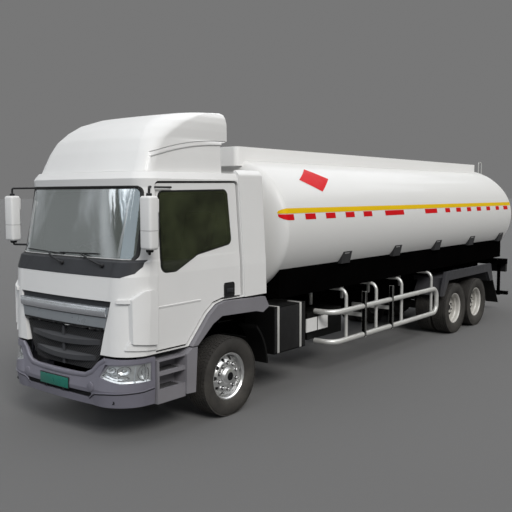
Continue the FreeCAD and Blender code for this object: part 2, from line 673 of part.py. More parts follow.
def save_front():
    save("bumper", bumper())
    save("headlamps", pair(headlamp()))
    save("lower_grille", lower_grille())
    save("entry_steps", pair(entry_step()))
    save("front_mudguards", pair(front_mudguard()))


# ---------------------------------------------------------------- side and rear fittings
POSTS_Y = (3350.0, 4270.0)                   # side guards' flat posts
LOCKER_X = 800.0                             # outer face of the locker behind the left rail


def side_guard():
    """Left lorry side guard: closed loop of tube, four hooked uprights and two posts."""
    x, r = 1150.0, 42.0
    top, low = 975.0, 512.0
    front_y, rear_y, start_x = 2450.0, 6110.0, LOCKER_X + 6
    loop = [pipe([(start_x, front_y, top, 0), (x, front_y, top, 200), (x, rear_y, top, 160),
                  (x, rear_y, low, 160), (x, front_y, low, 200), (start_x, front_y, low, 0)], r)]
    hooks = [pipe([(x - 64, y, low - 50, 0), (x - 64, y, 1285, 120), (RAIL_X[1] + 12, y, 1285, 0)], 27)
             for y in HOOKS_Y]
    ties = [box((x - 90, x), (y - 30, y + 30), (z - 12, z + 12))
            for y in HOOKS_Y for z in (top, low)]
    posts = [box((x - 20, x + 46), (y - 22, y + 22), (470, 1215)) for y in POSTS_Y]
    arms = [box((RAIL_X[1], x), (y - 20, y + 20), (800, 860)) for y in POSTS_Y]
    ends = [box((RAIL_X[1] + 10, RAIL_X[1] + 40), (y - 30, y + 30), (980, 1312))
            for y in HOOKS_Y]
    return fuse(loop + hooks + ties + posts + arms + ends)


def rear_mudguard():
    """Left angular mudguard over both drive axles, with its legs."""
    rows = [(6270, 800), (6365, 800), (6560, 1087), (8600, 1087), (8760, 870), (8930, 870),
            (8790, 1250), (6450, 1258)]
    lip = prism_x(rows, 1140, 1205)
    roof = prism_x([(6380, 800), (6575, 1087), (8585, 1087), (8745, 870), (8790, 870),
                    (8620, 1125), (6540, 1125), (6330, 800)], 560, 1150)
    stays = [box((RAIL_X[1] + 10, 600), (y - 30, y + 30), (1040, 1120)) for y in (6700.0, 7425.0, 8500.0)]
    return fuse([lip, roof] + stays)


def underrun_guard():
    """Rear beam across the truck, its two posts and the low bar."""
    beam = box((-1080, 1080), (9900, 10190), (1130, 1250))
    posts = pair(box((880, 940), (10070, 10130), (385, 1140)))
    legs = pair(box((880, 940), (10100, 10260), (385, 455)))
    bar = box((-1065, 1065), (10240, REAR_Y), (380, 460))
    feet = pair(box((RAIL_X[0], RAIL_X[1]), (FRAME_REAR_Y - 120, 10120), (970, 1140)))
    return fuse([beam, bar] + posts + legs + feet)


def tail_lamp():
    """Left lamp cluster hung under the beam's end."""
    return box((700, 1050), (10140, 10250), (940, 1125))


def outlet():
    """Discharge pipe under the tank's rear with its flange and cap thread."""
    run = pipe([(0, 9300, 1300, 0), (0, 9300, OUTLET_Z, 130), (0, OUTLET_END_Y, OUTLET_Z, 0)], OUTLET_R)
    valve = box((-95, 95), (9560, 9740), (OUTLET_Z - 80, OUTLET_Z + 66))
    flange_y = OUTLET_END_Y - OUTLET_SPIGOT
    flange = rod((0, flange_y - 22, OUTLET_Z), (0, flange_y, OUTLET_Z), 92)
    return fuse([run, valve, flange]).cut(tank_form(1.0))


def battery_boxes():
    """Cabinet behind the front left wheel, and the low locker behind it."""
    cabinet = fuse([box((640, 1150), (950, 1690), (600, 1250)),
                    box((RAIL_X[1], 660), (1100, 1500), (720, 900))])
    return [cabinet, box((RAIL_X[1], LOCKER_X), (2250, 3230), (545, 955))]


def fuel_tank():
    """Round-edged fuel tank on the right side."""
    x0, x1 = -1150.0, -480.0
    body = prism_y([(x0, 480, 130), (x1, 480, 130), (x1, 1120, 130), (x0, 1120, 130)], 950, 2150)
    neck = rod((-1000, 1150, 1100), (-1000, 1150, 1175), 45)
    stay = box((x1 - 20, -RAIL_X[1]), (1200, 1900), (720, 900))
    return fuse([body, neck, stay])


def save_fittings():
    save("side_guards", pair(side_guard()))
    save("rear_mudguards", pair(rear_mudguard()))
    flap = prism_x([(8930, 870), (8950, 870), (9300, 330), (9280, 330)], 920, 1200)
    save("mud_flaps", pair(flap))
    save("underrun_guard", underrun_guard())
    save("tail_lamps", pair(tail_lamp()))
    save("outlet_pipe", outlet())
    save("battery_box", battery_boxes())
    save("fuel_tank", fuel_tank())
    sign = fuse([box((840, 856), (2150, 2740), (685, 890)), box((LOCKER_X, 845), (2400, 2460), (760, 800))])
    save("side_sign", sign)


# ---------------------------------------------------------------- cab
# Cab's lower edge on its side, columns y, z.
SILL = ((-1400, 1000), (-712, 1000), (-405, 1342), (-255, 1448), (-100, 1480), (900, 1466))
DOOR_EDGE = ((-1228, 1004, 20), (-714, 1004, 0), (-408, 1346, 0), (-258, 1452, 0), (-102, 1484, 0),
             (284, 1480, 20), (262, 2948, 60), (-1158, 2930, 50))
WINDOW_EDGE = ((-1110, 1915, 70), (-895, 1915, 130), (-520, 2084, 250), (88, 2180, 60), (55, 2826, 60),
               (-1098, 2806, 60))
DOOR_SKIN, SHUT_GAP, INNER_GAP = 24.0, 8.0, 24.0
SCREEN_EDGE = ((1048, 2070, 60), (1046, 2470, 0), (1000, 2856, 60))
ARCH_OUTER = ((-700, 1000), (-394, 1335), (-248, 1438), (-100, 1468), (683, 1440), (770, 1300))
ARCH_INNER = ((640, 1236), (493, 1268), (-176, 1293), (-341, 1218), (-608, 1000))


def side_prism(rows, gap=0.0):
    """Left-side prism of a (y, z) outline, shrunk all round by gap."""
    wire = outline(rows, lambda a, b: V(900, a, b))
    if gap:
        wire = wire.makeOffset2D(-gap)
    return Part.Face(wire).extrude(V(500, 0, 0))


# Dark cowl under the windscreen, right half of its front outline, columns x, z.
COWL_EDGE = ((1124, 2062), (1122, 1990), (1084, 1920), (961, 1874))
COWL_DEPTH, COWL_REAR_Y = 30.0, -1265.0
# Raised corner block beside the door's front edge, columns y, z, corner radius.
CORNER_EDGE = ((-1538, 1150, 10), (-1238, 1112, 10), (-1238, 1690, 30), (-1300, 1736, 50),
               (-1430, 1722, 60), (-1538, 1640, 20))
CORNER_FOOT = ((-1580, 1076, 0), (-1238, 1052, 0), (-1238, 1180, 0), (-1545, 1180, 0))
CORNER_LEDGE = ((-1625, 1592, 8), (-1500, 1592, 0), (-1500, 1640, 0), (-1625, 1634, 8))
CORNER_PROUD = 46.0
# Side deflector behind the door, columns x, z, corner radius.
DEFLECTOR_EDGE = ((1183, 1475, 0), (1175, 1880, 0), (1163, 2060, 0), (1116, 2860, 0), (1106, 3030, 60),
                  (1040, 3088, 40), (1008, 3088, 0), (1008, 2996, 0), (1052, 2860, 0), (1100, 2060, 0),
                  (1120, 1475, 0))
DEFLECTOR_SIDE = ((292, 1470, 0), (738, 1470, 0), (738, 3100, 0), (268, 3100, 60))


def cowl():
    """Panel between the bumper's cab front and the glass, round both corners."""
    return between(CAB_SECTIONS, -3, COWL_DEPTH).common(
        prism_y(both_ways(COWL_EDGE)[::-1], -2500, COWL_REAR_Y - 3))


def corner_block():
    """Left air deflector on the cab's front corner, with its foot and its front ledge."""
    shapes = []
    for edge, proud, x0, sunk in ((CORNER_EDGE, CORNER_PROUD, 1000, 10), (CORNER_FOOT, 18, 1000, 14),
                                  (CORNER_LEDGE, 26, 935, 18)):
        face = Part.Face(outline(edge, lambda a, b: V(x0, a, b)))
        shapes.append(between(CAB_SECTIONS, -proud, sunk).common(face.extrude(V(500, 0, 0))))
    return fuse(shapes)


def side_deflector():
    """Left panel that carries the cab's side back to the tank."""
    return prism_y(DEFLECTOR_EDGE, 200, 800).common(prism_x(DEFLECTOR_SIDE, 900, 1300))


def cab_shell():
    """Walls, roof, floor and pillars, open at the doors, windscreen and grille panel."""
    outer = shell_form(CAB_SECTIONS)
    room = shell_form(CAB_SECTIONS, WALL, rear=CAB_REAR_Y - 120)
    room = room.common(box((-2000, 2000), (-3000, 3000), (FLOOR_Z[1], 3040 - WALL)))
    well = shell_form(CAB_SECTIONS, WALL, low=900, rear=CAB_REAR_Y + 200)
    well = well.common(box((-2000, 2000), (-3000, 3000), (800, FLOOR_Z[0])))
    below = prism_x([(-3000, 500), (-3000, 1000)] + list(SILL) + [(1500, 1466), (1500, 500)], -2000, 2000)
    doors = pair(side_prism(DOOR_EDGE))
    screen = prism_y(both_ways(SCREEN_EDGE), -2500, -1000)
    panel = prism_y(both_ways([(845, 1606), (752, 1262), (668, 900)])[::-1], -2500, -1574)
    pocket = between(CAB_SECTIONS, -40, COWL_DEPTH).common(
        prism_y(both_ways(COWL_EDGE)[::-1], -2500, COWL_REAR_Y))
    body = cut(outer, [room, well, below, screen, panel, pocket] + doors)
    for block in pair(corner_block()) + pair(side_deflector()):
        body = body.fuse(block)
    arm = prism_x([(TILT_Y - 38, TILT_Z - 38, 37), (TILT_Y + 60, TILT_Z - 38, 30),
                   (TILT_Y + 760, FLOOR_Z[0] + 10), (TILT_Y + 560, FLOOR_Z[0] + 10),
                   (TILT_Y - 38, TILT_Z + 38, 37)], RAIL_X[1] + 8, RAIL_X[1] + 70)
    lugs = pair(arm)
    pins = [rod((s * (RAIL_X[0] - 10), TILT_Y, TILT_Z), (s * (RAIL_X[1] + 70), TILT_Y, TILT_Z), 25.0)
            for s in (1, -1)]
    return fuse([body] + lugs + pins)


def grille_panel():
    """Gloss panel with the bright bar above it and the dark recess over the bar."""
    pieces = []
    for outer_t, inner_t, rows in ((-6, 44, [(803, 1464), (755, 1290)]),
                                   (-26, 44, [(824, 1538), (800, 1452)]),
                                   (28, 44, [(841, 1602), (820, 1530)])):
        shape = prism_y(both_ways(rows)[::-1], -2500, -1575)
        pieces.append(between(CAB_SECTIONS, outer_t, inner_t).common(shape))
    return fuse(pieces)


def windscreen():
    edge = [(x - 3, z + (3 if z < 2300 else -3 if z > 2600 else 0), r) for x, z, r in SCREEN_EDGE]
    return between(CAB_SECTIONS, 8, 16).common(prism_y(both_ways(edge), -2500, -1050))


def door():
    """Left door, with its window cut."""
    skin = between(CAB_SECTIONS, 0, DOOR_SKIN).common(side_prism(DOOR_EDGE, SHUT_GAP))
    inside = between(CAB_SECTIONS, DOOR_SKIN, WALL).common(side_prism(DOOR_EDGE, INNER_GAP))
    return fuse([skin, inside]).cut(side_prism(WINDOW_EDGE))


def door_glass():
    return between(CAB_SECTIONS, 12, 18).common(side_prism(WINDOW_EDGE))


MIRROR_AT = (1280.0, -1430.0)
MIRROR_HALF = (92.0, 72.0)
MIRROR_Z = (2188.0, 2768.0)


def mirror():
    """Left mirror: tall head on two arms from the cab's front pillar."""
    x, y = MIRROR_AT
    w, d = MIRROR_HALF
    low, high = MIRROR_Z
    head = prism_z([(x - w, y - d, 50), (x + w, y - d + 12, 60), (x + w - 6, y + d, 30),
                    (x - w + 4, y + d, 30)], low, high)
    upper = pipe([(x, y, high - 40, 0), (x, y, 2862, 30), (1050, -1195, 2866, 0)], 14)
    lower = pipe([(x, y, low + 40, 0), (x, y, 2140, 24), (1060, -1268, 2136, 0)], 14)
    whole = fuse([head, upper, lower]).cut(shell_form(CAB_SECTIONS))
    return max(whole.Solids, key=lambda s: s.Volume)


# Side line of the spoiler at its front, middle and rear, columns y, z.
SPOILER_LINE = ((-1095, 3256), (-540, 3380), (337, 3438))


def line_band(low, high, x0, x1):
    """Band between the spoiler's side line moved by low and by high in z, from x0 to x1."""
    lower = [V(x0, y, z + low) for y, z in SPOILER_LINE]
    upper = [V(x0, y, z + high) for y, z in SPOILER_LINE]
    wire = Part.Wire([Part.Arc(*lower).toShape(), Part.makeLine(lower[2], upper[2]),
                      Part.Arc(*upper[::-1]).toShape(), Part.makeLine(upper[0], lower[0])])
    return Part.Face(wire).extrude(V(x1 - x0, 0, 0))


def roof_spoiler():
    """Hollow roof fairing, open behind, with a groove and a ledge along each side."""
    form = shell_form(SPOILER_SECTIONS)
    whole = form.cut(shell_form(SPOILER_SECTIONS, 36, 3030, 3798, 800))
    groove = line_band(0, 9, 700, 1300).cut(shell_form(SPOILER_SECTIONS, 12))
    ledge = line_band(-500, -46, 700, 1300).cut(shell_form(SPOILER_SECTIONS, 12))
    return cut(whole, pair(groove) + pair(ledge))


def save_cab():
    save("cab_shell", cab_shell())
    save("cowl", cowl())
    save("grille_panel", grille_panel())
    save("windscreen", windscreen())
    save("roof_spoiler", roof_spoiler())
    arch = fuse([prism_x(list(ARCH_OUTER) + list(ARCH_INNER), 1120, 1205)])
    liner = prism_x([(-608, 1000), (-341, 1218), (-176, 1293), (493, 1268), (640, 1236), (644, 1256),
                     (495, 1290), (-180, 1315), (-352, 1238), (-628, 1000)], 860, 1130)
    save("wheel_arches", pair(fuse([arch, liner])))
    for side, f in (("left", lambda s: s), ("right", flip)):
        save("door_" + side, f(door()))
        save("door_glass_" + side, f(door_glass()))
        save("mirror_" + side, f(mirror()))


# ---------------------------------------------------------------- cab's inside
def seat(x):
    cushion = box((x - 245, x + 245), (-520, -20), (1800, 1930))
    back = prism_x([(-60, 1900, 40), (80, 1900, 40), (220, 2560, 50), (100, 2580, 50)], x - 240, x + 240)
    base = box((x - 180, x + 180), (-440, -80), (FLOOR_Z[1], 1810))
    return fuse([cushion, back, base])


STEER_X = -560.0
STEER_Y, STEER_Z = -860.0, 2080.0
STEER_LEAN = math.radians(35.0)


def steer_axis():
    return V(0, math.sin(STEER_LEAN), math.cos(STEER_LEAN))


def steering_wheel():
    c, n = V(STEER_X, STEER_Y, STEER_Z), steer_axis()
    ring = Part.makeTorus(215, 17, c, n)
    hub = Part.makeCylinder(55, 60, c - n * 45, n)
    spokes = [rod(tuple(c - n * 15), tuple(c - n * 5 + V(dx, 0, 0) * 205), 14) for dx in (1, -1)]
    across = V(0, math.cos(STEER_LEAN), -math.sin(STEER_LEAN))
    third = rod(tuple(c - n * 15), tuple(c - n * 5 + across * 205), 14)
    return fuse([ring, hub] + spokes + [third])


def dashboard():
    base = prism_x([(-1420, 1640), (-980, 1640, 60), (-960, 1960, 80), (-1180, 2040, 60), (-1420, 2030)],
                   -1010, 1010)
    fit = shell_form(CAB_SECTIONS, WALL + 6)
    c, n = V(STEER_X, STEER_Y, STEER_Z), steer_axis()
    column = Part.makeCylinder(40, 330, c - n * 380, n)
    foot = box((-120, 120), (-1420, -1040), (FLOOR_Z[1], 1660))
    return fuse([base.common(fit), column, foot.common(fit)])


def save_inside():
    save("seats", [seat(560.0), seat(-560.0)])
    save("bunk", fuse([box((-1030, 1030), (280, 600), (FLOOR_Z[1], 1900)),
                       box((-1030, 1030), (250, 605), (1900, 2010))]))
    save("dashboard", dashboard())
    save("steering_wheel", steering_wheel())


def main():
    os.makedirs("parts", exist_ok=True)
    save_wheels()
    save_running_gear()
    save_frame()
    save_tank()
    save_front()
    save_fittings()
    save_cab()
    save_inside()


main()
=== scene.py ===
"""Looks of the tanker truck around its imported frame: finishes, tyres, trim, lamps, stripes and soft parts.

Metres. +X is the truck's left side, +Y its rear and +Z up. Lengths along the truck are written
from the front axle, as in the part's source, and back() turns them into the frame's y.
"""

import math

import bmesh
import bpy
from mathutils import Matrix, Vector
from mathutils.bvhtree import BVHTree


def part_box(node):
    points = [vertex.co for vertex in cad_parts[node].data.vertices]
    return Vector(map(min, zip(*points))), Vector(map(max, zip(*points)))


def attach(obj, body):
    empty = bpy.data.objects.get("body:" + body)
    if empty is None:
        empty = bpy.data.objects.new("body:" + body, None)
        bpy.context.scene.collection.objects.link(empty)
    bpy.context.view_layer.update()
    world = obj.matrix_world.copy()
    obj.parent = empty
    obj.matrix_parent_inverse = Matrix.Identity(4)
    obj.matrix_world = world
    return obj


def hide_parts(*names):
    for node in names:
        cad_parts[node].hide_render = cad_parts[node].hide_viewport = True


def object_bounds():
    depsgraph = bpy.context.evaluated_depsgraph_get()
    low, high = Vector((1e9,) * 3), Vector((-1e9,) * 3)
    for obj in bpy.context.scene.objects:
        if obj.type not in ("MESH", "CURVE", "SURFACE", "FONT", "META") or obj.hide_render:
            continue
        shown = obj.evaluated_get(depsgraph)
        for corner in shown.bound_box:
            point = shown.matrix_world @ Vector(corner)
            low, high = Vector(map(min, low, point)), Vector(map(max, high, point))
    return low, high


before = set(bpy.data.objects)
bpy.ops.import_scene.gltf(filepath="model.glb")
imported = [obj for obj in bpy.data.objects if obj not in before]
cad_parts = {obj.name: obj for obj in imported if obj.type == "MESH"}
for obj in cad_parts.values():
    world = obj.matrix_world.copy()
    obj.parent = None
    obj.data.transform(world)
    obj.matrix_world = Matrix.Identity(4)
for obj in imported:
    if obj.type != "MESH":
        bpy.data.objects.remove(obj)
cad_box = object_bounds()


def middle(node):
    low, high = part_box(node)
    return (low + high) / 2.0


AXLE = middle("front_tyre_left")
SIDES = (("left", 1.0), ("right", -1.0))


def back(y):
    """Frame's y of a place y metres behind the front axle."""
    return AXLE.y + y


# ---------------------------------------------------------------- materials
def value(tree, kind, **inputs):
    """New node of a kind, with its inputs set by name (spaces written as _)."""
    made = tree.nodes.new("ShaderNode" + kind)
    for key, val in inputs.items():
        made.inputs[key.replace("_", " ")].default_value = val
    return made


def spread(tree, source, low, high, a=0.35, b=0.65):
    """Stretches a 0 to 1 texture value to low..high."""
    node = tree.nodes.new("ShaderNodeMapRange")
    node.inputs["From Min"].default_value = a
    node.inputs["From Max"].default_value = b
    node.inputs["To Min"].default_value = low
    node.inputs["To Max"].default_value = high
    tree.links.new(source, node.inputs["Value"])
    return node.outputs["Result"]


def blend_colour(tree, factor, a, b):
    """Mix of two colours or colour outputs by a factor output."""
    node = tree.nodes.new("ShaderNodeMix")
    node.data_type = "RGBA"
    tree.links.new(factor, node.inputs["Factor"])
    for slot_index, val in ((6, a), (7, b)):
        if isinstance(val, bpy.types.NodeSocket):
            tree.links.new(val, node.inputs[slot_index])
        else:
            node.inputs[slot_index].default_value = (*val, 1.0)
    return node.outputs[2]


def maths(tree, operation, *terms):
    """Result of a sum on outputs or plain numbers."""
    node = tree.nodes.new("ShaderNodeMath")
    node.operation = operation
    for term, socket in zip(terms, node.inputs):
        if isinstance(term, bpy.types.NodeSocket):
            tree.links.new(term, socket)
        else:
            socket.default_value = term
    return node.outputs[0]


def noise(tree, where, scale, detail=3.0, rough=0.5):
    node = value(tree, "TexNoise", Scale=scale, Detail=detail, Roughness=rough)
    tree.links.new(where, node.inputs["Vector"])
    return node.outputs["Fac"]


def finish(name, colour, rough, metal=0.0, vary=0.05, vary_scale=2.0, rough_vary=0.05,
           bump=0.0, bump_scale=300.0, edge=0.0, coat=0.0, dust=0.0, alpha=1.0, specular=0.5,
           sheen=0.0, bump_depth=0.002):
    """Procedural finish: mottled colour, uneven gloss, fine grain, soft edges and road dust low down."""
    mat = bpy.data.materials.new(name)
    mat.use_nodes = True
    tree = mat.node_tree
    shader = tree.nodes["Principled BSDF"]
    where = tree.nodes.new("ShaderNodeTexCoord").outputs["Object"]
    mottle = noise(tree, where, vary_scale, 5.0)
    dark = tuple(c * (1.0 - vary) for c in colour)
    light = tuple(min(1.0, c * (1.0 + vary)) for c in colour)
    shade = blend_colour(tree, spread(tree, mottle, 0.0, 1.0), dark, light)
    if dust > 0.0:
        split = tree.nodes.new("ShaderNodeSeparateXYZ")
        tree.links.new(where, split.inputs[0])
        low = spread(tree, split.outputs["Z"], dust, 0.0, 0.25, 1.25)
        patchy = maths(tree, "MULTIPLY", low, spread(tree, noise(tree, where, 6.0, 8.0, 0.7), 0.25, 1.0))
        shade = blend_colour(tree, patchy, shade, (0.23, 0.21, 0.18))
    tree.links.new(shade, shader.inputs["Base Color"])
    shine = spread(tree, noise(tree, where, vary_scale * 5.0, 6.0), max(0.02, rough - rough_vary),
                   min(1.0, rough + rough_vary))
    tree.links.new(shine, shader.inputs["Roughness"])
    shader.inputs["Metallic"].default_value = metal
    shader.inputs["Coat Weight"].default_value = coat
    shader.inputs["Coat Roughness"].default_value = 0.06
    shader.inputs["Alpha"].default_value = alpha
    shader.inputs["Specular IOR Level"].default_value = specular
    shader.inputs["Sheen Weight"].default_value = sheen
    normal = None
    if edge > 0.0:
        soft = tree.nodes.new("ShaderNodeBevel")
        soft.samples = 4
        soft.inputs["Radius"].default_value = edge
        normal = soft.outputs["Normal"]
    if bump > 0.0:
        relief = value(tree, "Bump", Strength=bump, Distance=bump_depth)
        tree.links.new(noise(tree, where, bump_scale, 4.0), relief.inputs["Height"])
        if normal:
            tree.links.new(normal, relief.inputs["Normal"])
        normal = relief.outputs["Normal"]
    if normal:
        tree.links.new(normal, shader.inputs["Normal"])
    return mat


WHITE = finish("cab_white", (0.71, 0.71, 0.705), 0.42, vary=0.010, edge=0.006, coat=0.12, dust=0.05,
               rough_vary=0.02, specular=0.35)
TANK_WHITE = finish("tank_white", (0.68, 0.68, 0.67), 0.42, vary=0.008, vary_scale=0.5, edge=0.003,
                    coat=0.15, dust=0.05, rough_vary=0.02, specular=0.2)
# Painted light: the coaming's white is made lighter than the tank's to make up for the shade on its side.
COAMING_WHITE_PAINTED_LIGHT = finish("coaming_white_painted_light", (0.88, 0.88, 0.87), 0.42, vary=0.01, vary_scale=0.5, edge=0.003,
                       coat=0.15, dust=0.05, rough_vary=0.02, specular=0.3)
GREY = finish("bumper_grey", (0.150, 0.146, 0.178), 0.45, vary=0.05, edge=0.005, dust=0.06, bump=0.08,
              bump_scale=1400.0)
STEP_GREY = finish("step_grey", (0.195, 0.190, 0.208), 0.5, vary=0.06, edge=0.005, dust=0.10, bump=0.12,
                   bump_scale=1100.0)
COWL = finish("cowl_grey", (0.020, 0.021, 0.024), 0.5, vary=0.08, edge=0.004, bump=0.12, bump_scale=1500.0,
              specular=0.25)
GUARD_GREY = finish("mudguard_grey", (0.042, 0.042, 0.047), 0.55, vary=0.1, edge=0.004, dust=0.12, bump=0.12,
                    bump_scale=900.0, specular=0.3)
BRACKET = finish("bracket_grey", (0.030, 0.030, 0.032), 0.5, vary=0.08, edge=0.003, dust=0.06, specular=0.3)
# Painted shade, in part: the black parts are black, and their tone near zero with no specular darkens them
# further for the shade under the tank.
BLACK = finish("frame_black", (0.0014, 0.0013, 0.0013), 0.7, vary=0.15, edge=0.003, bump=0.06,
               bump_scale=400.0, specular=0.0)
BOX_BLACK = finish("box_black", (0.005, 0.005, 0.005), 0.5, vary=0.15, edge=0.004, bump=0.06,
                   bump_scale=600.0, specular=0.12)
PLASTIC = finish("black_plastic", (0.010, 0.010, 0.011), 0.55, vary=0.12, edge=0.003, dust=0.04, bump=0.15,
                 bump_scale=1300.0, specular=0.25)
PANEL_GREY = finish("grille_panel_grey", (0.26, 0.28, 0.30), 0.32, metal=0.35, vary=0.04, coat=0.3,
                    edge=0.002)
GRILLE_GREY = finish("grille_grey", (0.042, 0.043, 0.047), 0.42, vary=0.08, edge=0.003, bump=0.08,
                     bump_scale=900.0, specular=0.35)
LAMP_BED = finish("lamp_reflector", (0.46, 0.48, 0.49), 0.34, metal=0.85, vary=0.12, vary_scale=14.0)
SILVER = finish("bright_bar", (0.74, 0.76, 0.80), 0.22, metal=0.9, vary=0.04)
CHROME = finish("chrome", (0.86, 0.86, 0.87), 0.07, metal=1.0, vary=0.02, rough_vary=0.02)
WHEEL_BRIGHT = finish("wheel_polished", (0.70, 0.70, 0.70), 0.34, metal=0.9, vary=0.06, vary_scale=9.0,
                      edge=0.004, rough_vary=0.04)
WHEEL_GREY = finish("wheel_painted", (0.50, 0.49, 0.46), 0.40, vary=0.04, vary_scale=9.0, edge=0.004,
                    dust=0.12)
TUBE = finish("guard_tube", (0.56, 0.56, 0.54), 0.34, metal=0.3, vary=0.05, vary_scale=5.0, dust=0.06,
              bump=0.03, bump_scale=700.0)
CAST = finish("cast_dark", (0.012, 0.012, 0.012), 0.7, vary=0.25, vary_scale=8.0, edge=0.003, dust=0.12,
              bump=0.4, bump_scale=350.0, specular=0.2)
RUBBER = finish("tyre_rubber", (0.026, 0.0245, 0.023), 0.78, vary=0.18, vary_scale=7.0, dust=0.14,
                bump=0.25, bump_scale=900.0, specular=0.3)
FLAP = finish("flap_rubber", (0.006, 0.006, 0.006), 0.65, vary=0.15, dust=0.06, bump=0.2, bump_scale=700.0,
              specular=0.2)
SEAL = finish("seal_rubber", (0.008, 0.008, 0.008), 0.55, vary=0.1, specular=0.3)
# Painted reflection: the strong patchy tone on the door glass stands in for streaks reflected in it.
GLASS = finish("door_glass", (0.026, 0.032, 0.014), 0.03, vary=0.55, vary_scale=3.2, rough_vary=0.01,
               coat=0.5, alpha=0.62, specular=0.6)
SCREEN = finish("screen_glass", (0.52, 0.55, 0.56), 0.025, metal=0.8, vary=0.03, rough_vary=0.01, coat=1.0,
                alpha=0.74, specular=0.8)
LENS = finish("lamp_glass", (0.86, 0.88, 0.90), 0.03, vary=0.02, rough_vary=0.01, coat=1.0, alpha=0.12,
              specular=0.9)
RED_LENS = finish("tail_red", (0.30, 0.006, 0.008), 0.15, vary=0.05, coat=0.6, bump=0.25, bump_scale=140.0)
AMBER = finish("amber_lens", (0.60, 0.17, 0.01), 0.12, vary=0.05, coat=0.6, bump=0.25, bump_scale=140.0)
YELLOW = finish("stripe_yellow", (0.72, 0.46, 0.003), 0.5, vary=0.03, specular=0.1)
RED = finish("stripe_red", (0.58, 0.006, 0.010), 0.5, vary=0.03, specular=0.08)
SIGN = finish("sign_white", (0.70, 0.70, 0.69), 0.35, vary=0.03, vary_scale=8.0)
GREEN = finish("plate_green", (0.006, 0.13, 0.095), 0.3, vary=0.04, coat=0.3)
CLOTH = finish("seat_cloth", (0.16, 0.15, 0.13), 0.9, vary=0.12, vary_scale=40.0, bump=0.6,
               bump_scale=700.0, sheen=0.3)
MESH_BLACK = finish("mesh_black", (0.006, 0.006, 0.007), 0.5, vary=0.1, specular=0.2)
WIRE = finish("grille_wire", (0.034, 0.034, 0.036), 0.5, vary=0.1)
STEEL = finish("bare_steel", (0.42, 0.42, 0.41), 0.35, metal=0.9, vary=0.08, vary_scale=12.0, edge=0.002)

NODE_FINISH = {
    "chassis_frame": BLACK, "bumper": GREY, "headlamps": LENS, "lower_grille": GRILLE_GREY,
    "entry_steps": STEP_GREY, "engine": CAST, "front_axle": CAST, "front_springs": CAST,
    "drive_axles": CAST, "bogie_springs": CAST, "propshafts": CAST, "front_mudguards": BOX_BLACK,
    # Painted shade: the fuel tank takes the black finish because it lies in shade under the tank.
    "battery_box": BOX_BLACK, "fuel_tank": BOX_BLACK, "side_sign": SIGN, "side_guards": TUBE,
    "rear_mudguards": GUARD_GREY, "mud_flaps": FLAP, "underrun_guard": BLACK, "tail_lamps": PLASTIC,
    "tank_shell": TANK_WHITE, "tank_cradle": BLACK, "tank_skirts": BLACK, "tank_brackets": BRACKET,
    "coaming": COAMING_WHITE_PAINTED_LIGHT, "manhole_collars": STEEL, "outlet_pipe": STEEL, "cab_shell": WHITE,
    "cowl": COWL, "grille_panel": PANEL_GREY, "windscreen": SCREEN, "roof_spoiler": WHITE,
    "wheel_arches": STEP_GREY, "dashboard": PLASTIC, "seats": CLOTH, "bunk": CLOTH,
    "steering_wheel": PLASTIC,
}
PREFIX_FINISH = (
    ("door_glass", GLASS), ("door", WHITE), ("mirror", WHITE), ("knuckle", CAST),
    ("front_wheel", WHEEL_BRIGHT), ("front_tyre", RUBBER), ("rear_wheels", WHEEL_GREY),
    ("rear_tyres", RUBBER), ("manhole_lid", STEEL),
)


def dress_nodes():
    """Gives every CAD node its finish."""
    for name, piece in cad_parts.items():
        found = NODE_FINISH.get(name)
        for prefix, mat in PREFIX_FINISH:
            if found is None and name.startswith(prefix):
                found = mat
        piece.data.materials.clear()
        piece.data.materials.append(found)


# ---------------------------------------------------------------- mesh helpers
def add(name, verts, faces, mat, body, slot_name, smooth=True, sharp_deg=35.0):
    """New mesh piece riding on a body."""
    data = bpy.data.meshes.new(name)
    data.from_pydata([tuple(v) for v in verts], [], faces)
    data.validate()
    work = bmesh.new()
    work.from_mesh(data)
    bmesh.ops.recalc_face_normals(work, faces=work.faces)
    work.to_mesh(data)
    work.free()
    piece = bpy.data.objects.new(name, data)
    bpy.context.scene.collection.objects.link(piece)
    data.materials.append(mat)
    if smooth:
        data.shade_smooth()
        data.set_sharp_from_angle(angle=math.radians(sharp_deg))
    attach(piece, body)
    return piece


def joined(parts):
    """One list of vertices and faces from several."""
    verts, faces = [], []
    for v, f in parts:
        base = len(verts)
        verts += v
        faces += [[base + i for i in face] for face in f]
    return verts, faces


def mirrored(part):
    verts, faces = part
    return [Vector((-v[0], v[1], v[2])) for v in verts], [list(reversed(f)) for f in faces]


def sided(part, sign):
    """A left-side part as it is, or mirrored for the right side."""
    return part if sign > 0 else mirrored(part)


def flipped(section):
    """A sweep's section with its sides swapped."""
    return [(-a, b) for a, b in section]


def sheet_faces(nu, nv):
    """Faces of a sheet whose vertices run nv + 1 to a row, in nu + 1 rows."""
    starts = [i * (nv + 1) + j for i in range(nu) for j in range(nv)]
    return [[k, k + 1, k + nv + 2, k + nv + 1] for k in starts]


def ring_faces(rings, count):
    """Faces between rings of count vertices each."""
    faces = []
    for base in range(0, (rings - 1) * count, count):
        for i in range(count):
            j = (i + 1) % count
            faces.append([base + i, base + j, base + count + j, base + count + i])
    return faces


def block(low, high, bevel=0.004, segments=2):
    """Rounded block between two corners, as vertices and faces."""
    work = bmesh.new()
    bmesh.ops.create_cube(work, size=1.0)
    low, high = Vector(low), Vector(high)
    for v in work.verts:
        v.co = Vector(((low[i] + high[i]) / 2 + v.co[i] * (high[i] - low[i]) for i in range(3)))
    if bevel > 0:
        bmesh.ops.bevel(work, geom=list(work.edges), offset=bevel, segments=segments, affect="EDGES",
                        profile=0.5)
    work.verts.index_update()
    out = [v.co.copy() for v in work.verts], [[v.index for v in f.verts] for f in work.faces]
    work.free()
    return out


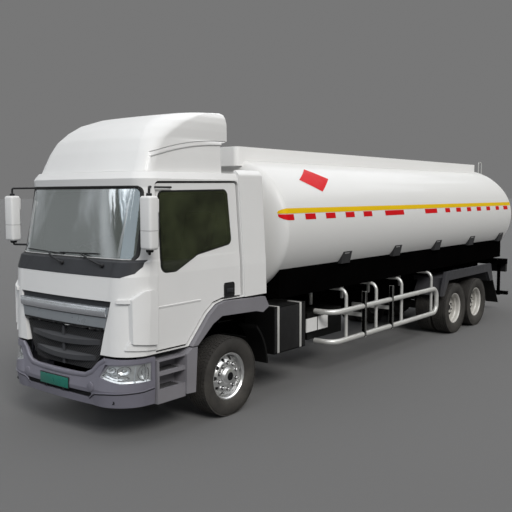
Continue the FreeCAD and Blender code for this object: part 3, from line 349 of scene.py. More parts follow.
def lathe(rows, centre, axis="x", segments=32):
    """Surface turned about an axis through centre from (along, radius) rows."""
    verts = []
    for along, radius in rows:
        for i in range(segments):
            a = 2 * math.pi * i / segments
            u, w = radius * math.cos(a), radius * math.sin(a)
            local = {"x": (along, u, w), "y": (u, along, w), "z": (u, w, along)}[axis]
            verts.append(Vector(centre) + Vector(local))
    return verts, ring_faces(len(rows), segments)


def sweep(path, profile, closed=False):
    """Strip whose (side, out) section follows (point, normal) rows."""
    verts, faces, n, m = [], [], len(path), len(profile)
    for i, (point, normal) in enumerate(path):
        before = path[(i - 1) % n][0] if (closed or i > 0) else point
        after = path[(i + 1) % n][0] if (closed or i < n - 1) else point
        along = (after - before).normalized()
        out = (normal - along * normal.dot(along)).normalized()
        side = along.cross(out)
        verts += [point + side * a + out * b for a, b in profile]
    for i in range(n if closed else n - 1):
        k = (i + 1) % n
        for j in range(m):
            l = (j + 1) % m
            faces.append([i * m + j, i * m + l, k * m + l, k * m + j])
    if not closed:
        faces.append(list(range(m)))
        faces.append([(n - 1) * m + j for j in reversed(range(m))])
    return verts, faces


def ring_profile(radius, count=8):
    return [(radius * math.cos(2 * math.pi * i / count), radius * math.sin(2 * math.pi * i / count))
            for i in range(count)]


def tube(points, radius, up=(0.13, 0.21, 1.0), count=10):
    """Round bar through points."""
    return sweep([(Vector(p), Vector(up)) for p in points], ring_profile(radius, count))


def rounded(rows, steps=6):
    """Points of a closed outline with (a, b, corner radius) rows."""
    out, n = [], len(rows)
    for i in range(n):
        p = Vector(rows[i][:2])
        a, b = Vector(rows[i - 1][:2]), Vector(rows[(i + 1) % n][:2])
        r = rows[i][2] if len(rows[i]) > 2 else 0.0
        if r <= 0:
            out.append(tuple(p))
            continue
        u, w = (a - p).normalized(), (b - p).normalized()
        half = math.acos(max(-1.0, min(1.0, u.dot(w)))) / 2
        reach = r / math.tan(half)
        start, end = p + u * reach, p + w * reach
        centre = p + (u + w).normalized() * (r / math.sin(half))
        a0 = math.atan2(*(start - centre).yx)
        a1 = math.atan2(*(end - centre).yx)
        turn = (a1 - a0 + math.pi) % (2 * math.pi) - math.pi
        for k in range(steps + 1):
            t = a0 + turn * k / steps
            out.append((centre.x + r * math.cos(t), centre.y + r * math.sin(t)))
    return out


def densify(points, step, closed=True):
    """Same outline with no gap over step."""
    out, n = [], len(points)
    for i in range(n if closed else n - 1):
        a, b = Vector(points[i]), Vector(points[(i + 1) % n])
        k = max(1, int(math.ceil((b - a).length / step)))
        out += [a.lerp(b, j / k) for j in range(k)]
    if not closed:
        out.append(Vector(points[-1]))
    return out


class Skin:
    """Outer surface of some CAD nodes, for trim to lie on."""

    def __init__(self, *nodes):
        verts, faces = [], []
        for n in nodes:
            mesh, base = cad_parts[n].data, len(verts)
            verts += [v.co.copy() for v in mesh.vertices]
            faces += [[base + i for i in p.vertices] for p in mesh.polygons]
        self.tree = BVHTree.FromPolygons(verts, faces)

    def from_left(self, y, z, start=3.0):
        point, normal, _, _ = self.tree.ray_cast(Vector((start, y, z)), Vector((-1, 0, 0)))
        return (point, normal) if point else None

    def from_front(self, x, z):
        point, normal, _, _ = self.tree.ray_cast(Vector((x, -9.0, z)), Vector((0, 1, 0)))
        return (point, normal) if point else None


def arc_through(a, b, c, share):
    """Point at a share of the way along the arc through three plan points."""
    (ax, ay), (bx, by), (cx, cy) = a, b, c
    d = 2 * (ax * (by - cy) + bx * (cy - ay) + cx * (ay - by))
    aa, bb, cc = ax ** 2 + ay ** 2, bx ** 2 + by ** 2, cx ** 2 + cy ** 2
    ux = (aa * (by - cy) + bb * (cy - ay) + cc * (ay - by)) / d
    uy = (aa * (cx - bx) + bb * (ax - cx) + cc * (bx - ax)) / d
    r = math.hypot(ax - ux, ay - uy)
    t0, t1 = math.atan2(ay - uy, ax - ux), math.atan2(cy - uy, cx - ux)
    sweep_angle = (t1 - t0 + math.pi) % (2 * math.pi) - math.pi
    t = t0 + sweep_angle * share
    return Vector((ux + r * math.cos(t), uy + r * math.sin(t)))


# Plan sections as in the part's source. Columns: z, y of the nose, (x, y) where the corner
# starts, (x, y) halfway round it, (x, y) where the side starts, (x, y) of the rear corner.
SPOILER_SECTIONS = (
    (3.042, -1.320, (0.833, -1.262), (0.956, -1.195), (1.002, -1.064), (0.978, 0.105)),
    (3.280, -1.209, (0.806, -1.152), (0.922, -1.088), (0.968, -0.964), (0.950, 0.125)),
    (3.420, -1.130, (0.772, -1.076), (0.897, -0.988), (0.941, -0.862), (0.930, 0.135)),
    (3.444, -1.114, (0.762, -1.056), (0.892, -0.968), (0.938, -0.834), (0.905, 0.270)),
    (3.560, -0.985, (0.700, -0.936), (0.856, -0.836), (0.928, -0.650), (0.905, 0.268)),
    (3.660, -0.825, (0.610, -0.778), (0.795, -0.700), (0.912, -0.460), (0.900, 0.272)),
    (3.740, -0.610, (0.500, -0.568), (0.732, -0.445), (0.882, -0.240), (0.880, 0.270)),
    (3.790, -0.290, (0.400, -0.262), (0.680, -0.195), (0.842, -0.040), (0.842, 0.268)),
    (3.812, -0.100, (0.300, -0.080), (0.600, 0.020), (0.750, 0.160), (0.785, 0.262)),
)
BUMPER_SECTIONS = (
    (0.430, -1.725, (0.620, -1.700), (0.965, -1.610), (1.105, -1.400), (1.125, -1.245)),
    (0.620, -1.756, (0.660, -1.728), (0.990, -1.630), (1.125, -1.400), (1.142, -1.245)),
    (0.970, -1.690, (0.790, -1.655), (1.020, -1.570), (1.132, -1.380), (1.145, -1.245)),
)
# Shares of a half outline, from the middle of the front: where the corner and the side start.
CORNER_AT, SIDE_AT = 0.45, 0.70


class Form:
    """Left half of the surface through plan sections, found by height and share of the outline."""

    def __init__(self, rows):
        self.rows = rows

    def on_row(self, row, share, sunk):
        _, nose, front, corner, side, rear = row
        fx, fy = front[0] - 0.35 * sunk, front[1] + sunk
        cx, cy = corner[0] - 0.72 * sunk, corner[1] + 0.72 * sunk
        sx, sy = side[0] - sunk, side[1] + 0.25 * sunk
        if share <= CORNER_AT:
            return arc_through((-fx, fy), (0.0, nose + sunk), (fx, fy), 0.5 + 0.5 * share / CORNER_AT)
        if share <= SIDE_AT:
            return arc_through((fx, fy), (cx, cy), (sx, sy), (share - CORNER_AT) / (SIDE_AT - CORNER_AT))
        end = Vector((rear[0] - sunk, rear[1] - sunk))
        return Vector((sx, sy)).lerp(end, (share - SIDE_AT) / (1 - SIDE_AT))

    def at(self, share, z, sunk=0.0):
        k = 0
        while k < len(self.rows) - 2 and z > self.rows[k + 1][0]:
            k += 1
        low, high = self.rows[k], self.rows[k + 1]
        t = (z - low[0]) / (high[0] - low[0])
        p = self.on_row(low, share, sunk).lerp(self.on_row(high, share, sunk), t)
        return Vector((p.x, back(p.y), z))

    def normal(self, share, z):
        step = 0.004
        u = self.at(min(1.0, share + step), z) - self.at(max(0.0, share - step), z)
        w = self.at(share, z + step) - self.at(share, z - step)
        n = u.cross(w).normalized()
        return n if n.y < 0 or n.x > 0.5 else -n

    def share_of(self, test, z):
        """Share at which test(point) turns true, going from the middle to the rear."""
        low, high = 0.0, 1.0
        for _ in range(24):
            mid = (low + high) / 2
            low, high = (low, mid) if test(self.at(mid, z)) else (mid, high)
        return high


# ---------------------------------------------------------------- tank
TANK_LOW, TANK_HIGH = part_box("tank_shell")
TANK_C = Vector((0.0, 0.0, (TANK_LOW.z + TANK_HIGH.z) / 2))
HALF_W, HALF_H = (TANK_HIGH.x - TANK_LOW.x) / 2, (TANK_HIGH.z - TANK_LOW.z) / 2
SIDE_R = 0.880
HEAD_DEPTH = 0.250
SEAM_Y = (TANK_LOW.y + HEAD_DEPTH, TANK_HIGH.y - HEAD_DEPTH)


def crown_radius():
    return (HALF_W ** 2 - 2 * HALF_W * SIDE_R + HALF_H ** 2) / (2 * (HALF_H - SIDE_R))


def oval_points(scale, count):
    """Points round the four-arc section, as (x, z) from its middle."""
    a, b, r, big = (k * scale for k in (HALF_W, HALF_H, SIDE_R, crown_radius()))
    cx, cz = a - r, big - b
    join = math.atan2(cz, cx)          # angle of the line from the crown's centre to the side's
    side_arc, crown_arc = r * join, big * (math.pi / 2 - join)
    quarter = side_arc + crown_arc
    out = []
    for i in range(count):
        s = 4 * quarter * i / count
        q, s = int(s // quarter), s % quarter
        if q % 2:
            s = quarter - s
        if s <= side_arc:
            t = s / r
            x, z = cx + r * math.cos(t), r * math.sin(t)
        else:
            t = join + (s - side_arc) / big
            x, z = big * math.cos(t), big * math.sin(t) - cz
        out.append((x * (1, -1, -1, 1)[q], z * (1, 1, -1, -1)[q]))
    return out


def head_scale(t):
    """Size of a head's section at a share t of its depth."""
    return max(0.0, 1.0 - t ** 2.3) ** 0.47


def tank_mesh():
    count, rings = 144, []
    turns = [math.pi / 2 * k / 22 for k in range(22)]
    rings += [(SEAM_Y[0] - HEAD_DEPTH * math.sin(t), head_scale(math.sin(t))) for t in reversed(turns)]
    rings += [(SEAM_Y[0] + (SEAM_Y[1] - SEAM_Y[0]) * k / 24, 1.0) for k in range(1, 24)]
    rings += [(SEAM_Y[1] + HEAD_DEPTH * math.sin(t), head_scale(math.sin(t))) for t in turns]
    verts = []
    for y, scale in rings:
        verts += [Vector((x, y, TANK_C.z + z)) for x, z in oval_points(scale, count)]
    faces = ring_faces(len(rings), count)
    for row, y in ((0, TANK_LOW.y), (len(rings) - 1, TANK_HIGH.y)):
        verts.append(Vector((0, y, TANK_C.z)))
        faces += [[row * count + i, row * count + (i + 1) % count, len(verts) - 1] for i in range(count)]
    return verts, faces


def tank_x(y, z, lift=0.0):
    """Left surface point of the tank at (y, z), pushed out by lift."""
    depth = max(SEAM_Y[0] - y, y - SEAM_Y[1], 0.0) / HEAD_DEPTH
    scale = head_scale(depth) if depth > 0 else 1.0
    a, r = HALF_W * scale, SIDE_R * scale
    dz = z - TANK_C.z
    big, cz = crown_radius() * scale, (crown_radius() - HALF_H) * scale
    x = (a - r) + math.sqrt(max(0.0, r * r - dz * dz))
    join_z = r * math.sin(math.atan2(cz, a - r))
    if abs(dz) > join_z:
        x = math.sqrt(max(0.0, big * big - (abs(dz) + cz) ** 2))
    return Vector((x + lift, y - (lift if y < SEAM_Y[0] else 0.0), z + lift * dz / HALF_H))


STRIPE_LIFT = 0.0028


def painted(name, part, mat):
    """A painted part on both flanks."""
    add(name, *joined([part, mirrored(part)]), mat, "chassis", "tank_white")


def patch(corner_rows, name, mat, nu, nv):
    """Painted patch on both flanks; corner_rows are four (y, z) corners in order."""
    a, b, c, d = (Vector(p) for p in corner_rows)
    verts = []
    for i in range(nu + 1):
        for j in range(nv + 1):
            p = a.lerp(b, i / nu).lerp(d.lerp(c, i / nu), j / nv)
            verts.append(tank_x(p.x, p.y, STRIPE_LIFT))
    painted(name, (verts, sheet_faces(nu, nv)), mat)


STRIPE_Z = (2.516, 2.587)
DASH_Z = (2.425, 2.507)
# Red dashes under the yellow stripe, columns: start and end, metres behind the front axle.
DASHES = ((1.20, 1.345), (1.62, 1.88), (2.15, 2.41), (2.70, 2.96), (3.24, 3.51), (3.95, 4.62),
          (5.46, 5.97), (6.34, 6.56), (6.86, 7.09), (7.40, 7.61), (7.92, 8.15), (8.46, 8.67),
          (9.01, 9.21), (9.49, 9.75))
MARK = ((2.342, 3.157), (2.717, 3.012), (2.289, 2.817), (1.897, 2.988))


def weld_bead(y, name):
    """Bead round the tank's seam."""
    path = [(Vector((x, y, TANK_C.z + z)), Vector((x, 0, z))) for x, z in oval_points(1.0, 144)]
    bead = [(-0.010, -0.001), (-0.006, 0.0012), (0.0, 0.0018), (0.006, 0.0012), (0.010, -0.001)]
    add(name, *sweep(path, bead, closed=True), TANK_WHITE, "chassis", "tank_white")


def build_tank():
    skin = add("tank_skin", *tank_mesh(), TANK_WHITE, "chassis", "tank_white", sharp_deg=60)
    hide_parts("tank_shell")
    for i, y in enumerate(SEAM_Y, 1):
        weld_bead(y, "seam_bead_%d" % i)
    z0, z1 = STRIPE_Z
    head, tail = SEAM_Y
    patch(((head, z1), (tail, z1), (tail, z0), (head, z0)), "yellow_stripe", YELLOW, nu=60, nv=3)
    nose_patch("yellow_stripe_nose", YELLOW, z0, z1)
    z0, z1 = DASH_Z
    nose_patch("red_dash_nose", RED, z1, z0)
    for i, (a, b) in enumerate(DASHES, 1):
        start = max(back(a), head)
        patch(((start, z1), (back(b), z1), (back(b), z0), (start, z0)), "red_dash_%d" % i, RED, nu=2, nv=3)
    rows = [(back(y), z) for y, z in MARK]
    patch(rows, "red_mark", RED, nu=16, nv=16)


def nose_patch(name, mat, flat_z, round_z):
    """Rounded end of a stripe, wrapped on to the front head."""
    wrap, nu, nv = 0.115, 14, 4
    verts = []
    for i in range(nu + 1):
        angle = math.pi / 2 * i / nu
        y = SEAM_Y[0] - wrap * math.cos(angle)
        top = flat_z + (round_z - flat_z) * (0.25 + 0.75 * math.sin(angle))
        verts += [tank_x(y, flat_z + (top - flat_z) * j / nv, STRIPE_LIFT) for j in range(nv + 1)]
    painted(name, (verts, sheet_faces(nu, nv)), mat)


# ---------------------------------------------------------------- tyres
# Carcass half section, columns: share of the half width, radius.
CARCASS = ((0.66, 0.288), (0.74, 0.299), (0.80, 0.306), (0.88, 0.322), (0.94, 0.345), (0.985, 0.372),
           (1.0, 0.400), (0.995, 0.425), (0.97, 0.447), (0.945, 0.458), (0.935, 0.466), (0.90, 0.478),
           (0.84, 0.4855), (0.60, 0.4875), (0.30, 0.4880), (0.0, 0.4882))
# Tread ribs, columns: inner and outer share of the half width, lugs round the tyre, lean.
RIBS = ((0.03, 0.25, 72, 0.25), (0.31, 0.53, 72, -0.25), (0.59, 0.92, 60, 0.15))


def tyre_parts(centre, half):
    """Carcass and tread lugs of one tyre."""
    rows = [(-s * half, r) for s, r in CARCASS] + [(s * half, r) for s, r in reversed(CARCASS[:-1])]
    rows = [(-0.10, 0.285)] + rows + [(0.10, 0.285)]
    parts = [lathe(rows, centre, segments=96)]
    ribs = []
    for side in (1, -1):
        for inner, outer, count, lean in RIBS:
            ribs.append((side * inner, side * outer, count, lean * side))
    for a, b, count, lean in ribs:
        pitch = 2 * math.pi / count
        for i in range(count):
            start = pitch * (i + (0.5 if b < 0 else 0.0))
            verts = []
            for share, shift in ((a, 0.0), (b, lean)):
                low = 0.4865 - 0.006 * abs(share) ** 3
                top = 0.4995 - 0.0035 * abs(share) ** 2.5
                for turn in (start + pitch * shift, start + pitch * (shift + 0.86)):
                    for radius in (low, top):
                        verts.append(Vector(centre) + Vector((share * half, radius * math.cos(turn),
                                                              radius * math.sin(turn))))
            parts.append((verts, [[0, 1, 3, 2], [4, 6, 7, 5], [1, 5, 7, 3], [0, 4, 5, 1], [2, 3, 7, 6]]))
    return joined(parts)


def build_tyres():
    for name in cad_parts:
        if "tyre" not in name:
            continue
        low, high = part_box(name)
        mid, width = (low + high) / 2, high.x - low.x
        single = width < 0.4
        front_low, front_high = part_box("front_tyre_left")
        half = (width if single else front_high.x - front_low.x) / 2
        centres = [mid.x] if single else [low.x + half, high.x - half]
        parts = joined([tyre_parts((x, mid.y, mid.z), half) for x in centres])
        body = name.replace("tyres", "wheels").replace("tyre", "wheel")
        made = add("treaded_" + name, *parts, RUBBER, body, "tyre_rubber", sharp_deg=30)
        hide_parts(name)


HUB_CAP_R = 0.058
# Of a wheel at the left: x of the hub's end, the disc's face and the nut's end, then the ring of painted
# shade behind the hand holes as (x, radius) rows.
FRONT_FACES = (1.179, 1.135, 1.167, ((1.095, 0.200), (1.061, 0.240), (1.055, 0.240), (1.089, 0.200)))
REAR_FACES = (1.082, 1.036, 1.068, ((1.019, 0.204), (1.019, 0.251), (1.013, 0.251), (1.013, 0.204)))
STUDS, STUD_PCD_R, WASHER_R = 10, 0.1675, 0.025


def build_hubs():
    """Dark hub caps, dark discs at the nuts, painted shadow round the front wheels' nuts, and painted shade
    behind the hand holes.
    """
    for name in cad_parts:
        if "wheel" not in name or name == "steering_wheel" or name.startswith("wheel_"):
            continue
        mid = middle(name)
        sign = 1.0 if mid.x > 0 else -1.0
        front = name.startswith("front")
        end, face, nut, ring = FRONT_FACES if front else REAR_FACES
        rows = [(end - 0.050, HUB_CAP_R), (end - 0.004, HUB_CAP_R), (end + 0.002, HUB_CAP_R - 0.007),
                (end + 0.0025, 0.001)]
        cap = lathe([(sign * a, r) for a, r in rows], (0.0, mid.y, mid.z), segments=36)
        shade = lathe([(sign * a, r) for a, r in ring], (0.0, mid.y, mid.z), segments=48)
        nut_discs = []
        for k in range(STUDS):
            turn = 2 * math.pi * k / STUDS + math.pi / STUDS
            y, z = mid.y + STUD_PCD_R * math.cos(turn), mid.z + STUD_PCD_R * math.sin(turn)
            # Painted shadow: on a front wheel the dark disc rings each nut's foot; on a rear wheel it is a
            # dark cylinder to just past the nut's end.
            tip = face + 0.0035 if front else nut + 0.0015
            radius = WASHER_R if front else 0.019
            rows = [(face - 0.002, radius), (tip - 0.001, radius), (tip, radius - 0.002), (tip, 0.001)]
            nut_discs.append(lathe([(sign * a, r) for a, r in rows], (0.0, y, z), segments=14))
        add("hub_cap_and_shade_" + name, *joined([cap, shade] + nut_discs), MESH_BLACK, name, "black_plastic")


# ---------------------------------------------------------------- cab's glass edges and side
# Outlines as in the part's source: columns y (behind the front axle), z, corner radius.
WINDOW_EDGE = ((-1.110, 1.915, 0.07), (-0.895, 1.915, 0.13), (-0.520, 2.084, 0.25), (0.088, 2.180, 0.06),
               (0.055, 2.826, 0.06), (-1.098, 2.806, 0.06))
SCREEN_EDGE = ((1.048, 2.070, 0.06), (1.046, 2.470, 0.0), (1.000, 2.856, 0.06), (-1.000, 2.856, 0.06),
               (-1.046, 2.470, 0.0), (-1.048, 2.070, 0.06))


def grown(points, by):
    """Closed outline moved outward by a distance."""
    mid = Vector((sum(p[0] for p in points) / len(points), sum(p[1] for p in points) / len(points)))
    n, out = len(points), []
    for i in range(n):
        a, p, b = Vector(points[i - 1]), Vector(points[i]), Vector(points[(i + 1) % n])
        t = (b - a).normalized()
        side = Vector((t.y, -t.x))
        if side.dot(p - mid) < 0:
            side = -side
        out.append(p + side * by)
    return out


def seal(skin_of, edge, section):
    """Rubber strip round an opening; the section's wide side faces the glass."""
    path = [p for p in (skin_of(*q) for q in edge) if p]
    strip = sweep(path, section, closed=True)
    other = sweep(path, flipped(section), closed=True)
    return strip if widest(strip[0]) < widest(other[0]) else other


def build_seals():
    skin = Skin("door_left")
    edge = densify(rounded([(back(y), z, r) for y, z, r in WINDOW_EDGE]), 0.05)
    section = [(-0.010, 0.0), (-0.006, 0.004), (0.006, 0.004), (0.040, -0.004), (0.042, -0.010),
               (0.010, -0.010)]
    strip = seal(skin.from_left, grown(edge, 0.010), section)
    for side, sign in SIDES:
        add("window_seal_" + side, *sided(strip, sign), SEAL, "door_" + side, "window_glass")
    front = Skin("cab_shell", "cowl")
    edge = densify(rounded(SCREEN_EDGE), 0.04)
    section = [(-0.012, 0.0), (-0.008, 0.003), (0.004, 0.004), (0.034, -0.005), (0.036, -0.012),
               (0.006, -0.012)]
    strip = seal(front.from_front, grown(edge, 0.012), section)
    add("screen_seal", *strip, SEAL, "cab", "window_glass")


def widest(verts):
    """Spread of vertices, to tell an inward strip from an outward one."""
    return sum((max(v[i] for v in verts) - min(v[i] for v in verts)) for i in range(3))


def build_handles():
    skin = Skin("door_left")
    y, z = back(0.035), 1.590
    point, _ = skin.from_left(y, z)
    x = point.x
    plate = block((x - 0.006, y - 0.095, z - 0.09), (x + 0.004, y + 0.095, z + 0.09), 0.003)
    rim = rounded([(y - 0.095, z - 0.09, 0.03), (y + 0.095, z - 0.09, 0.03), (y + 0.095, z + 0.09, 0.03),
                   (y - 0.095, z + 0.09, 0.03)])
    ring = sweep([(Vector((x + 0.002, a, b)), Vector((1, 0, 0))) for a, b in rim],
                 [(-0.006, -0.004), (-0.005, 0.004), (0.005, 0.004), (0.006, -0.004)], closed=True)
    grip = block((x + 0.004, y - 0.06, z - 0.03), (x + 0.020, y + 0.07, z + 0.02), 0.008, 3)
    for side, sign in SIDES:
        for name, part, mat in (("handle_recess_", joined([plate, ring]), PLASTIC),
                                ("handle_grip_", grip, COWL)):
            add(name + side, *sided(part, sign), mat, "door_" + side, "black_plastic")


# ---------------------------------------------------------------- mirrors
MIRROR_X, MIRROR_Y = 1.280, -1.430
MIRROR_Z = (2.190, 2.766)


def build_mirrors():
    x, y, (low, high) = MIRROR_X, back(MIRROR_Y), MIRROR_Z
    body = block((x - 0.089, y - 0.070, low), (x + 0.089, y + 0.066, high), 0.030, 5)
    verts = []
    for v in body[0]:
        share = (v.z - low) / (high - low)
        squeeze = 1.0 - 0.035 * (2 * share - 1) ** 4
        verts.append(Vector((x + (v.x - x) * squeeze, y + (v.y - y) * squeeze, v.z)))
    housing = block((x - 0.082, y + 0.046, low + 0.395), (x + 0.084, y + 0.070, high - 0.03), 0.010, 3)
    head = joined([(verts, body[1]), housing])
    glasses = joined([
        block((x - 0.072, y + 0.064, low + 0.22), (x + 0.074, y + 0.0718, high - 0.045), 0.0015),
        block((x - 0.072, y + 0.058, low + 0.03), (x + 0.074, y + 0.0685, low + 0.19), 0.003)])
    split = sweep([(Vector((x + a, y + b, low + 0.205)), Vector((a, b, 0))) for a, b in
                   rounded([(-0.0885, -0.0695, 0.030), (0.0885, -0.0695, 0.030), (0.0885, 0.0655, 0.030),
                            (-0.0885, 0.0655, 0.030)])],
                  [(-0.0015, -0.006), (-0.0015, 0.0004), (0.0015, 0.0004), (0.0015, -0.006)], closed=True)
    arms = joined([
        tube([(x, y, high - 0.02), (x, y, 2.848), (x - 0.004, y + 0.004, 2.858),
              (x - 0.014, y + 0.016, 2.862), (1.075, back(-1.215), 2.866)], 0.0125),
        tube([(x, y, low + 0.02), (x, y, 2.152), (x - 0.004, y + 0.003, 2.143), (x - 0.014, y + 0.010, 2.140),
              (1.120, back(-1.300), 2.137)], 0.0125),
        block((x - 0.030, y - 0.034, low - 0.030), (x + 0.030, y + 0.034, low + 0.016), 0.012, 3),
        block((x - 0.024, y - 0.026, high - 0.012), (x + 0.024, y + 0.026, high + 0.030), 0.010, 3)])
    rail = tube([(1.086, back(-1.165), 2.862), (1.112, back(-1.155), 2.862), (1.112, back(-0.935), 2.862),
                 (1.086, back(-0.925), 2.862)], 0.011)
    for side, sign in SIDES:
        for name, part, mat, slot_name in (("mirror_head_", head, WHITE, "white_paint"),
                                           ("mirror_glass_", glasses, CHROME, "white_paint"),
                                           ("mirror_split_", split, SEAL, "white_paint"),
                                           ("mirror_arms_", arms, PLASTIC, "black_plastic")):
            add(name + side, *sided(part, sign), mat, "cab", slot_name)
        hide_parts("mirror_" + side)
        add("door_top_bar_" + side, *sided(rail, sign), PLASTIC, "door_" + side, "black_plastic")


# ---------------------------------------------------------------- roof spoiler
# The spoiler's side line as in the part's source, front, middle and rear: y, z.
SPOILER_LINE = ((-1.095, 3.256), (-0.540, 3.380), (0.337, 3.438))
LINE_GAP, LEDGE_DROP, LINE_DEPTH = 0.009, 0.046, 0.012


def spoiler_line(y):
    """Height of the side line at y metres behind the front axle."""
    (y0, z0), (y1, z1), (y2, z2) = SPOILER_LINE
    if y <= y0:
        return z0
    a = ((z2 - z0) / (y2 - y0) - (z1 - z0) / (y1 - y0)) / (y2 - y1)
    return z0 + (y - y0) * (z1 - z0) / (y1 - y0) + a * (y - y0) * (y - y1)


def build_spoiler():
    """Smooth skin over the spoiler's solid, with its side line and ledge."""
    form = Form(SPOILER_SECTIONS)
    low, high = SPOILER_SECTIONS[0][0] + 0.001, SPOILER_SECTIONS[-1][0] - 0.0005
    shares = [k / 90 for k in range(91)]
    columns = []
    for share in shares:
        line = SPOILER_LINE[0][1]
        for _ in range(6):
            line = spoiler_line(form.at(share, line).y - back(0.0))
        side = form.at(share, line).y - back(0.0) > SPOILER_LINE[0][0] and share > CORNER_AT
        ledge = LINE_DEPTH if side else -0.001
        rows = [(low + (line - LEDGE_DROP - low) * k / 5, ledge) for k in range(6)]
        rows += [(line - LEDGE_DROP + 0.002, -0.001), (line - LEDGE_DROP / 2, -0.001), (line, -0.001),
                 (line + 0.001, ledge), (line + LINE_GAP - 0.001, ledge), (line + LINE_GAP, -0.001)]
        rows += [(line + LINE_GAP + (high - line - LINE_GAP) * k / 26, -0.001) for k in range(1, 27)]
        columns.append([form.at(share, z, sunk) for z, sunk in rows])
    right = [[Vector((-p.x, p.y, p.z)) for p in column] for column in reversed(columns[1:])]
    columns = right + columns
    verts = [p for column in columns for p in column]
    faces = sheet_faces(len(columns) - 1, len(columns[0]) - 1)
    add("spoiler_skin", verts, faces, WHITE, "cab", "white_paint", sharp_deg=42)


# ---------------------------------------------------------------- front
# Strips across the grille panel, columns: name, half length, z, section, finish, slot.
PANEL_STRIPS = (
    ("grille_bar", 0.800, 1.484, ((-0.052, -0.004), (-0.046, 0.006), (-0.020, 0.013), (0.012, 0.014),
                                  (0.036, 0.008), (0.052, -0.004)), SILVER, "wheel_bright"),
    # Painted shade: a thin black strip stands in for the groove under the bar.
    ("panel_groove_shade", 0.790, 1.424, ((-0.005, -0.003), (-0.003, 0.003), (0.003, 0.003), (0.005, -0.003)),
     MESH_BLACK, "gloss_dark"),
    # Painted shade: a dark flat strip stands in for the recess above the bar.
    ("panel_recess_shade", 0.828, 1.570, ((-0.036, -0.002), (-0.036, 0.002), (0.036, 0.002), (0.036, -0.002)),
     COWL, "gloss_dark"),
    ("panel_foot", 0.748, 1.297, ((-0.011, -0.006), (-0.011, 0.004), (0.008, 0.003), (0.008, -0.002)),
     MESH_BLACK, "gloss_dark"),
)


def along_front(skin, half, z, count=40):
    """(point, normal) rows across the front of a skin at one height."""
    hits = [skin.from_front(-half + 2 * half * i / count, z) for i in range(count + 1)]
    return [hit for hit in hits if hit]


def build_front():
    """Strips across the grille panel, then what lies on the rest of the front."""
    panel = Skin("grille_panel")
    for name, half, z, section, mat, slot_name in PANEL_STRIPS:
        add(name, *sweep(along_front(panel, half, z), section), mat, "cab", slot_name)
    grille_mesh()
    wipers()
    plate()
    lamps()
    bumper_lines()
    door_crease()


def grille_mesh():
    """Woven mesh in front of the lower panel, in diagonal strips, and a black sheet of painted shade behind
    it.
    """
    half_rows = ((0.730, 1.250), (0.647, 0.970), (0.545, 0.818), (0.418, 0.797))
    y = back(-1.6070)
    bottom, top = half_rows[-1][1] + 0.002, half_rows[0][1] - 0.002

    def half_width(z):
        for (x1, z1), (x0, z0) in zip(half_rows, half_rows[1:]):
            if z0 <= z <= z1:
                return x0 + (x1 - x0) * (z - z0) / (z1 - z0)
        return 0.0

    cell, wire, steps, parts = 0.034, 0.0026, 60, []
    for lean in (1, -1):
        start = -1.6
        while start < 1.6:
            run = []
            for k in range(steps):
                z = bottom + (top - bottom) * k / (steps - 1)
                x = start + lean * (z - bottom)
                if abs(x) < half_width(z) - 0.004:
                    run.append((x, z))
            if len(run) > 2:
                path = [(Vector((x, y, z)), Vector((0, -1, 0))) for x, z in (run[0], run[-1])]
                parts.append(sweep(path, [(-wire, 0), (-wire, 0.004), (wire, 0.004), (wire, 0)]))
            start += cell
    add("grille_mesh", *joined(parts), WIRE, "chassis", "black_plastic", smooth=False)
    # Painted shade: a black sheet just in front of the grille's backing darkens it behind the bars and mesh.
    levels = [bottom + (top - bottom) * k / 12 for k in range(13)]
    verts = [Vector((side * half_width(z), y + 0.0005, z)) for z in levels for side in (-1, 1)]
    shade = [[2 * k, 2 * k + 1, 2 * k + 3, 2 * k + 2] for k in range(12)]
    add("grille_painted_shade", verts, shade, MESH_BLACK, "chassis", "black_plastic", smooth=False)


def wipers():
    """Two arms on the cowl with their blades along the glass's lower edge."""
    skin = Skin("cowl", "windscreen", "cab_shell")

    def lay(x, z, lift):
        point, normal = skin.from_front(x, z)
        return point + normal * lift

    parts = []
    for pivot, tip, blade in (((-0.02, 1.990), (-0.38, 2.092), ((-0.86, 2.110), (-0.10, 2.085))),
                              ((0.67, 1.990), (0.24, 2.100), ((-0.16, 2.098), (0.52, 2.112)))):
        boss = lay(*pivot, 0.0)
        parts.append(lathe([(-0.03, 0.0), (-0.03, 0.020), (0.004, 0.026), (0.02, 0.026)],
                           (boss.x, boss.y, boss.z), axis="y", segments=16))
        arm = [lay(*pivot, 0.022), lay(pivot[0] * 0.6 + tip[0] * 0.4, pivot[1] * 0.6 + tip[1] * 0.4, 0.05),
               lay(*tip, 0.03)]
        parts.append(tube(arm, 0.010))
        ends = [lay(blade[0][0] + (blade[1][0] - blade[0][0]) * k / 10,
                    blade[0][1] + (blade[1][1] - blade[0][1]) * k / 10, 0.014) for k in range(11)]
        parts.append(sweep([(p, Vector((0, -1, 0.4))) for p in ends],
                           [(-0.007, -0.010), (-0.004, 0.010), (0.004, 0.010), (0.007, -0.010)]))
    add("wipers", *joined(parts), PLASTIC, "cab", "black_plastic")


